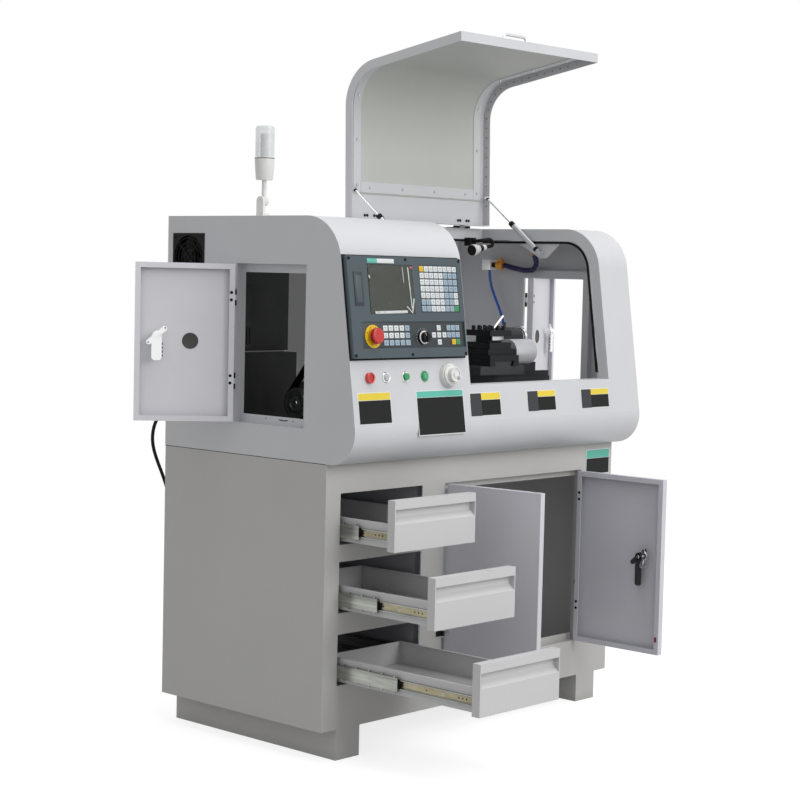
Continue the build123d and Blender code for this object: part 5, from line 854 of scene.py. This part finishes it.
start = rim(y2, z2, r2, high_side)
run_up = rim(y1, z1, r1, high_side) - start
run_down = rim(y2, z2, r2, low_side) - rim(y1, z1, r1, low_side)
out = Vector((0, math.cos(high_side), math.sin(high_side)))
section = [start + Vector((BELT_X + across, 0, 0)) + out * reach
           for across, reach in ((0, 0), (BELT_WIDE, 0), (BELT_WIDE, BELT_THICK), (0, BELT_THICK))]
belt = Piece("drive_belt")
belt.swept(Matrix(), section, [[run_up], [(0, y1, z1), (1, 0, 0), 2 * offset, 24], [run_down],
                               [(0, y2, z2), (1, 0, 0), 2 * math.pi - 2 * offset, 24]], rubber)
belt.done("frame")
pulley_face = place(280.2, y2, z2, (-1, 0, 0))
hub = Piece("motor_pulley_face")
hub.ring(pulley_face, 20, 36, -0.2, 0.8, steel, 0.3, 48)
hub.disc(pulley_face, 9, -0.2, 5, chrome, 1.0, 28)
hub.done("frame")

# Electrics: a grey steel plate screwed to the back wall, with the boxes of the spindle's drive and the
# power supply on it. The motor of the spindle stands below them, with a sheet cover behind it.
electrics_grey = material("electrics_grey", "767a76", 0.5, metal=0.2, vary=0.15, scale=9, corner_shade=0.2)
dress(electrics_grey, "electrics")

# Coolant: a nickel-plated block screwed to the right wall, with an orange plastic tap, a dark blue
# segmented hose with an orange nozzle, and a blue tube that hangs down to the black pump.
SEGMENTS = [(1150, 405, 1262), (1146, 360, 1253), (1140, 315, 1247), (1132, 276, 1248),
            (1126, 258, 1266), (1120, 262, 1294)]
SEGMENT_LENGTH = 11.5
SEGMENT = [(0, -5.8), (5, -5.8), (8.2, -2), (8.2, 2.5), (6.4, 5.8), (0, 5.8)]
NOZZLE = [(0, -4), (8, -4), (8, 4), (4, 30), (2.6, 34), (0, 34)]
FORWARD = (0, -1, 0)
orange = material("orange_plastic", "f6a01e", 0.35, vary=0.05, coat=0.2)
hose_blue = material("hose_blue", "231a5a", 0.35, vary=0.08, coat=0.2)
blue_tube = material("blue_tube", "1f5fd0", 0.3, vary=0.06, coat=0.3)
coolant = Piece("coolant_taps")
coolant.box(place(1156.5, 465, 1262), (41, 34, 32), nickel, 1.5)
coolant.disc(place(1150, 449, 1262, FORWARD), 8, 0, 17, black_plastic, 1.0)
coolant.disc(place(1150, 432, 1262, FORWARD), 13, 0, 26, orange, 3.0)
coolant.disc(place(1150, 419, 1260), 5.8, 0, 24, orange, 1.2)
for low, high in zip(SEGMENTS, SEGMENTS[1:]):
    low, high = Vector(low), Vector(high)
    count = max(2, round((high - low).length / SEGMENT_LENGTH))
    for step in range(count):
        spot = low.lerp(high, (step + 0.5) / count)
        coolant.turned(place(*spot, high - low), SEGMENT, hose_blue, 20)
coolant.turned(place(1119, 263, 1298, (-0.25, 0.3, 1)), NOZZLE, orange, 24)
coolant.box(place(1098, 363, 798.5), (64, 64, 87), black_plastic, 2.5)
coolant.disc(place(1098, 363, 841), 26, 0, 17, black_plastic, 2.0)
coolant.disc(place(1100, 357, 857), 6, 0, 20, black_plastic, 1.0)
coolant.done("frame", ("coolant_fittings",))


def nurbs_cord(name, points, diameter, finish):
    """A round cord along a smooth spline."""
    data = bpy.data.curves.new(name, "CURVE")
    data.dimensions = "3D"
    spline = data.splines.new("NURBS")
    spline.points.add(len(points) - 1)
    for point, spot in zip(spline.points, points):
        point.co = (*at(*spot), 1)
    spline.order_u = 3
    spline.use_endpoint_u = True
    data.bevel_depth = diameter / 2000
    data.bevel_resolution = 4
    data.resolution_u = 6
    data.materials.append(finish)
    cord = bpy.data.objects.new(name, data)
    SCENE.collection.objects.link(cord)
    return cord


TUBE_ROUTE = [(1150, 462, 1246), (1150, 459, 1206), (1153, 438, 1160), (1150, 410, 1112),
              (1140, 386, 1066), (1127, 370, 1022), (1114, 361, 974), (1104, 357, 926),
              (1100, 357, 880)]
tube = nurbs_cord("coolant_hose", TUBE_ROUTE, 8.0, blue_tube)
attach(tube, "frame")
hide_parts("coolant_tube")

# Mains lead: a round black rubber cable from the gland at the back, hung down the stand and laid in
# a coil on the floor, with a moulded plug. A rubber strap holds the coil together.
CORD_DIAMETER = 9.5
CORD_ROUTE = [(60, 651, 842), (60, 686, 842), (51, 714, 818), (43, 722, 782), (42, 721, 744),
              (54, 716, 702), (70, 709, 660), (85, 702, 612), (97, 696, 560), (107, 690, 506),
              (116, 685, 450), (124, 680, 394), (131, 676, 336), (137, 672, 278), (142, 669, 222),
              (146, 667, 168), (152, 666, 118), (164, 665, 74), (188, 665, 38), (220, 665, 14),
              (248, 665, 5.4)]
TO_PLUG = [(288, 674.5, 21.3), (300, 672, 18), (312, 670, 14), (322, 669.75, 13)]
COIL_X, COIL_Y, COIL_MIDDLE, TURN_POINTS = 288.0, 726.5, 52.0, 14
TURNS = ((9.5, 4.8), (0.0, 4.8), (-9.5, 4.8), (-4.75, 13.1), (4.75, 13.1), (0.0, 21.3))
STRAP_WIDE, STRAP_REACH = 12, 15.3


def coil_points():
    """The coil's turns round its middle, each at its own radius and height, and the way to the plug."""
    points = []
    for number, (reach, height) in enumerate(TURNS):
        after = TURNS[min(number + 1, len(TURNS) - 1)]
        for step in range(TURN_POINTS):
            share = step / TURN_POINTS
            angle = -math.pi / 2 + 2 * math.pi * share
            blend = max(0.0, share * 3 - 2)
            radius = COIL_MIDDLE + reach + (after[0] - reach) * blend
            points.append((COIL_X + radius * math.cos(angle), COIL_Y + radius * math.sin(angle),
                           height + (after[1] - height) * blend))
    return points + TO_PLUG


dress(black_plastic, "mains_plug")
mains = nurbs_cord("mains_lead", CORD_ROUTE + coil_points(), CORD_DIAMETER, rubber)
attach(mains, "frame")
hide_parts("mains_cord", "mains_cord_coil")
strap = Piece("mains_lead_strap")
for y, z, deep, high in ((COIL_MIDDLE - STRAP_REACH, 13.4, 1, 26),
                         (COIL_MIDDLE + STRAP_REACH, 13.4, 1, 26), (COIL_MIDDLE, 26.9, 31, 1)):
    strap.box(place(COIL_X, COIL_Y + y, z), (STRAP_WIDE, deep, high), rubber, 0.3)
strap_piece = strap.done("frame")

# Floor: a pale studio sheet, laid flat under the machine. It is white to the camera where it is lit,
# and keeps the shadow.
FLOOR_HALF, FLOOR_COLOUR, FLOOR_GLOW = 14.0, 0.42, 0.78
floor_data = bpy.data.meshes.new("floor")
sheet = bmesh.new()
bmesh.ops.create_grid(sheet, x_segments=1, y_segments=1, size=FLOOR_HALF)
sheet.to_mesh(floor_data)
sheet.free()
floor = bpy.data.objects.new("floor", floor_data)
SCENE.collection.objects.link(floor)
floor_material = bpy.data.materials.new("studio_floor")
floor_material.use_nodes = True
nodes, links = floor_material.node_tree.nodes, floor_material.node_tree.links
shader = nodes["Principled BSDF"]
shader.inputs["Roughness"].default_value = 1.0
shader.inputs["Specular IOR Level"].default_value = 0.0
shader.inputs["Base Color"].default_value = (FLOOR_COLOUR, FLOOR_COLOUR, FLOOR_COLOUR, 1)
shader.inputs["Emission Color"].default_value = (1, 1, 1, 1)
floor_light = nodes.new("ShaderNodeMath")
floor_light.operation = "MULTIPLY"
floor_light.inputs[1].default_value = FLOOR_GLOW
links.new(shown_rays(nodes, links), floor_light.inputs[0])
links.new(floor_light.outputs[0], shader.inputs["Emission Strength"])
floor_data.materials.append(floor_material)
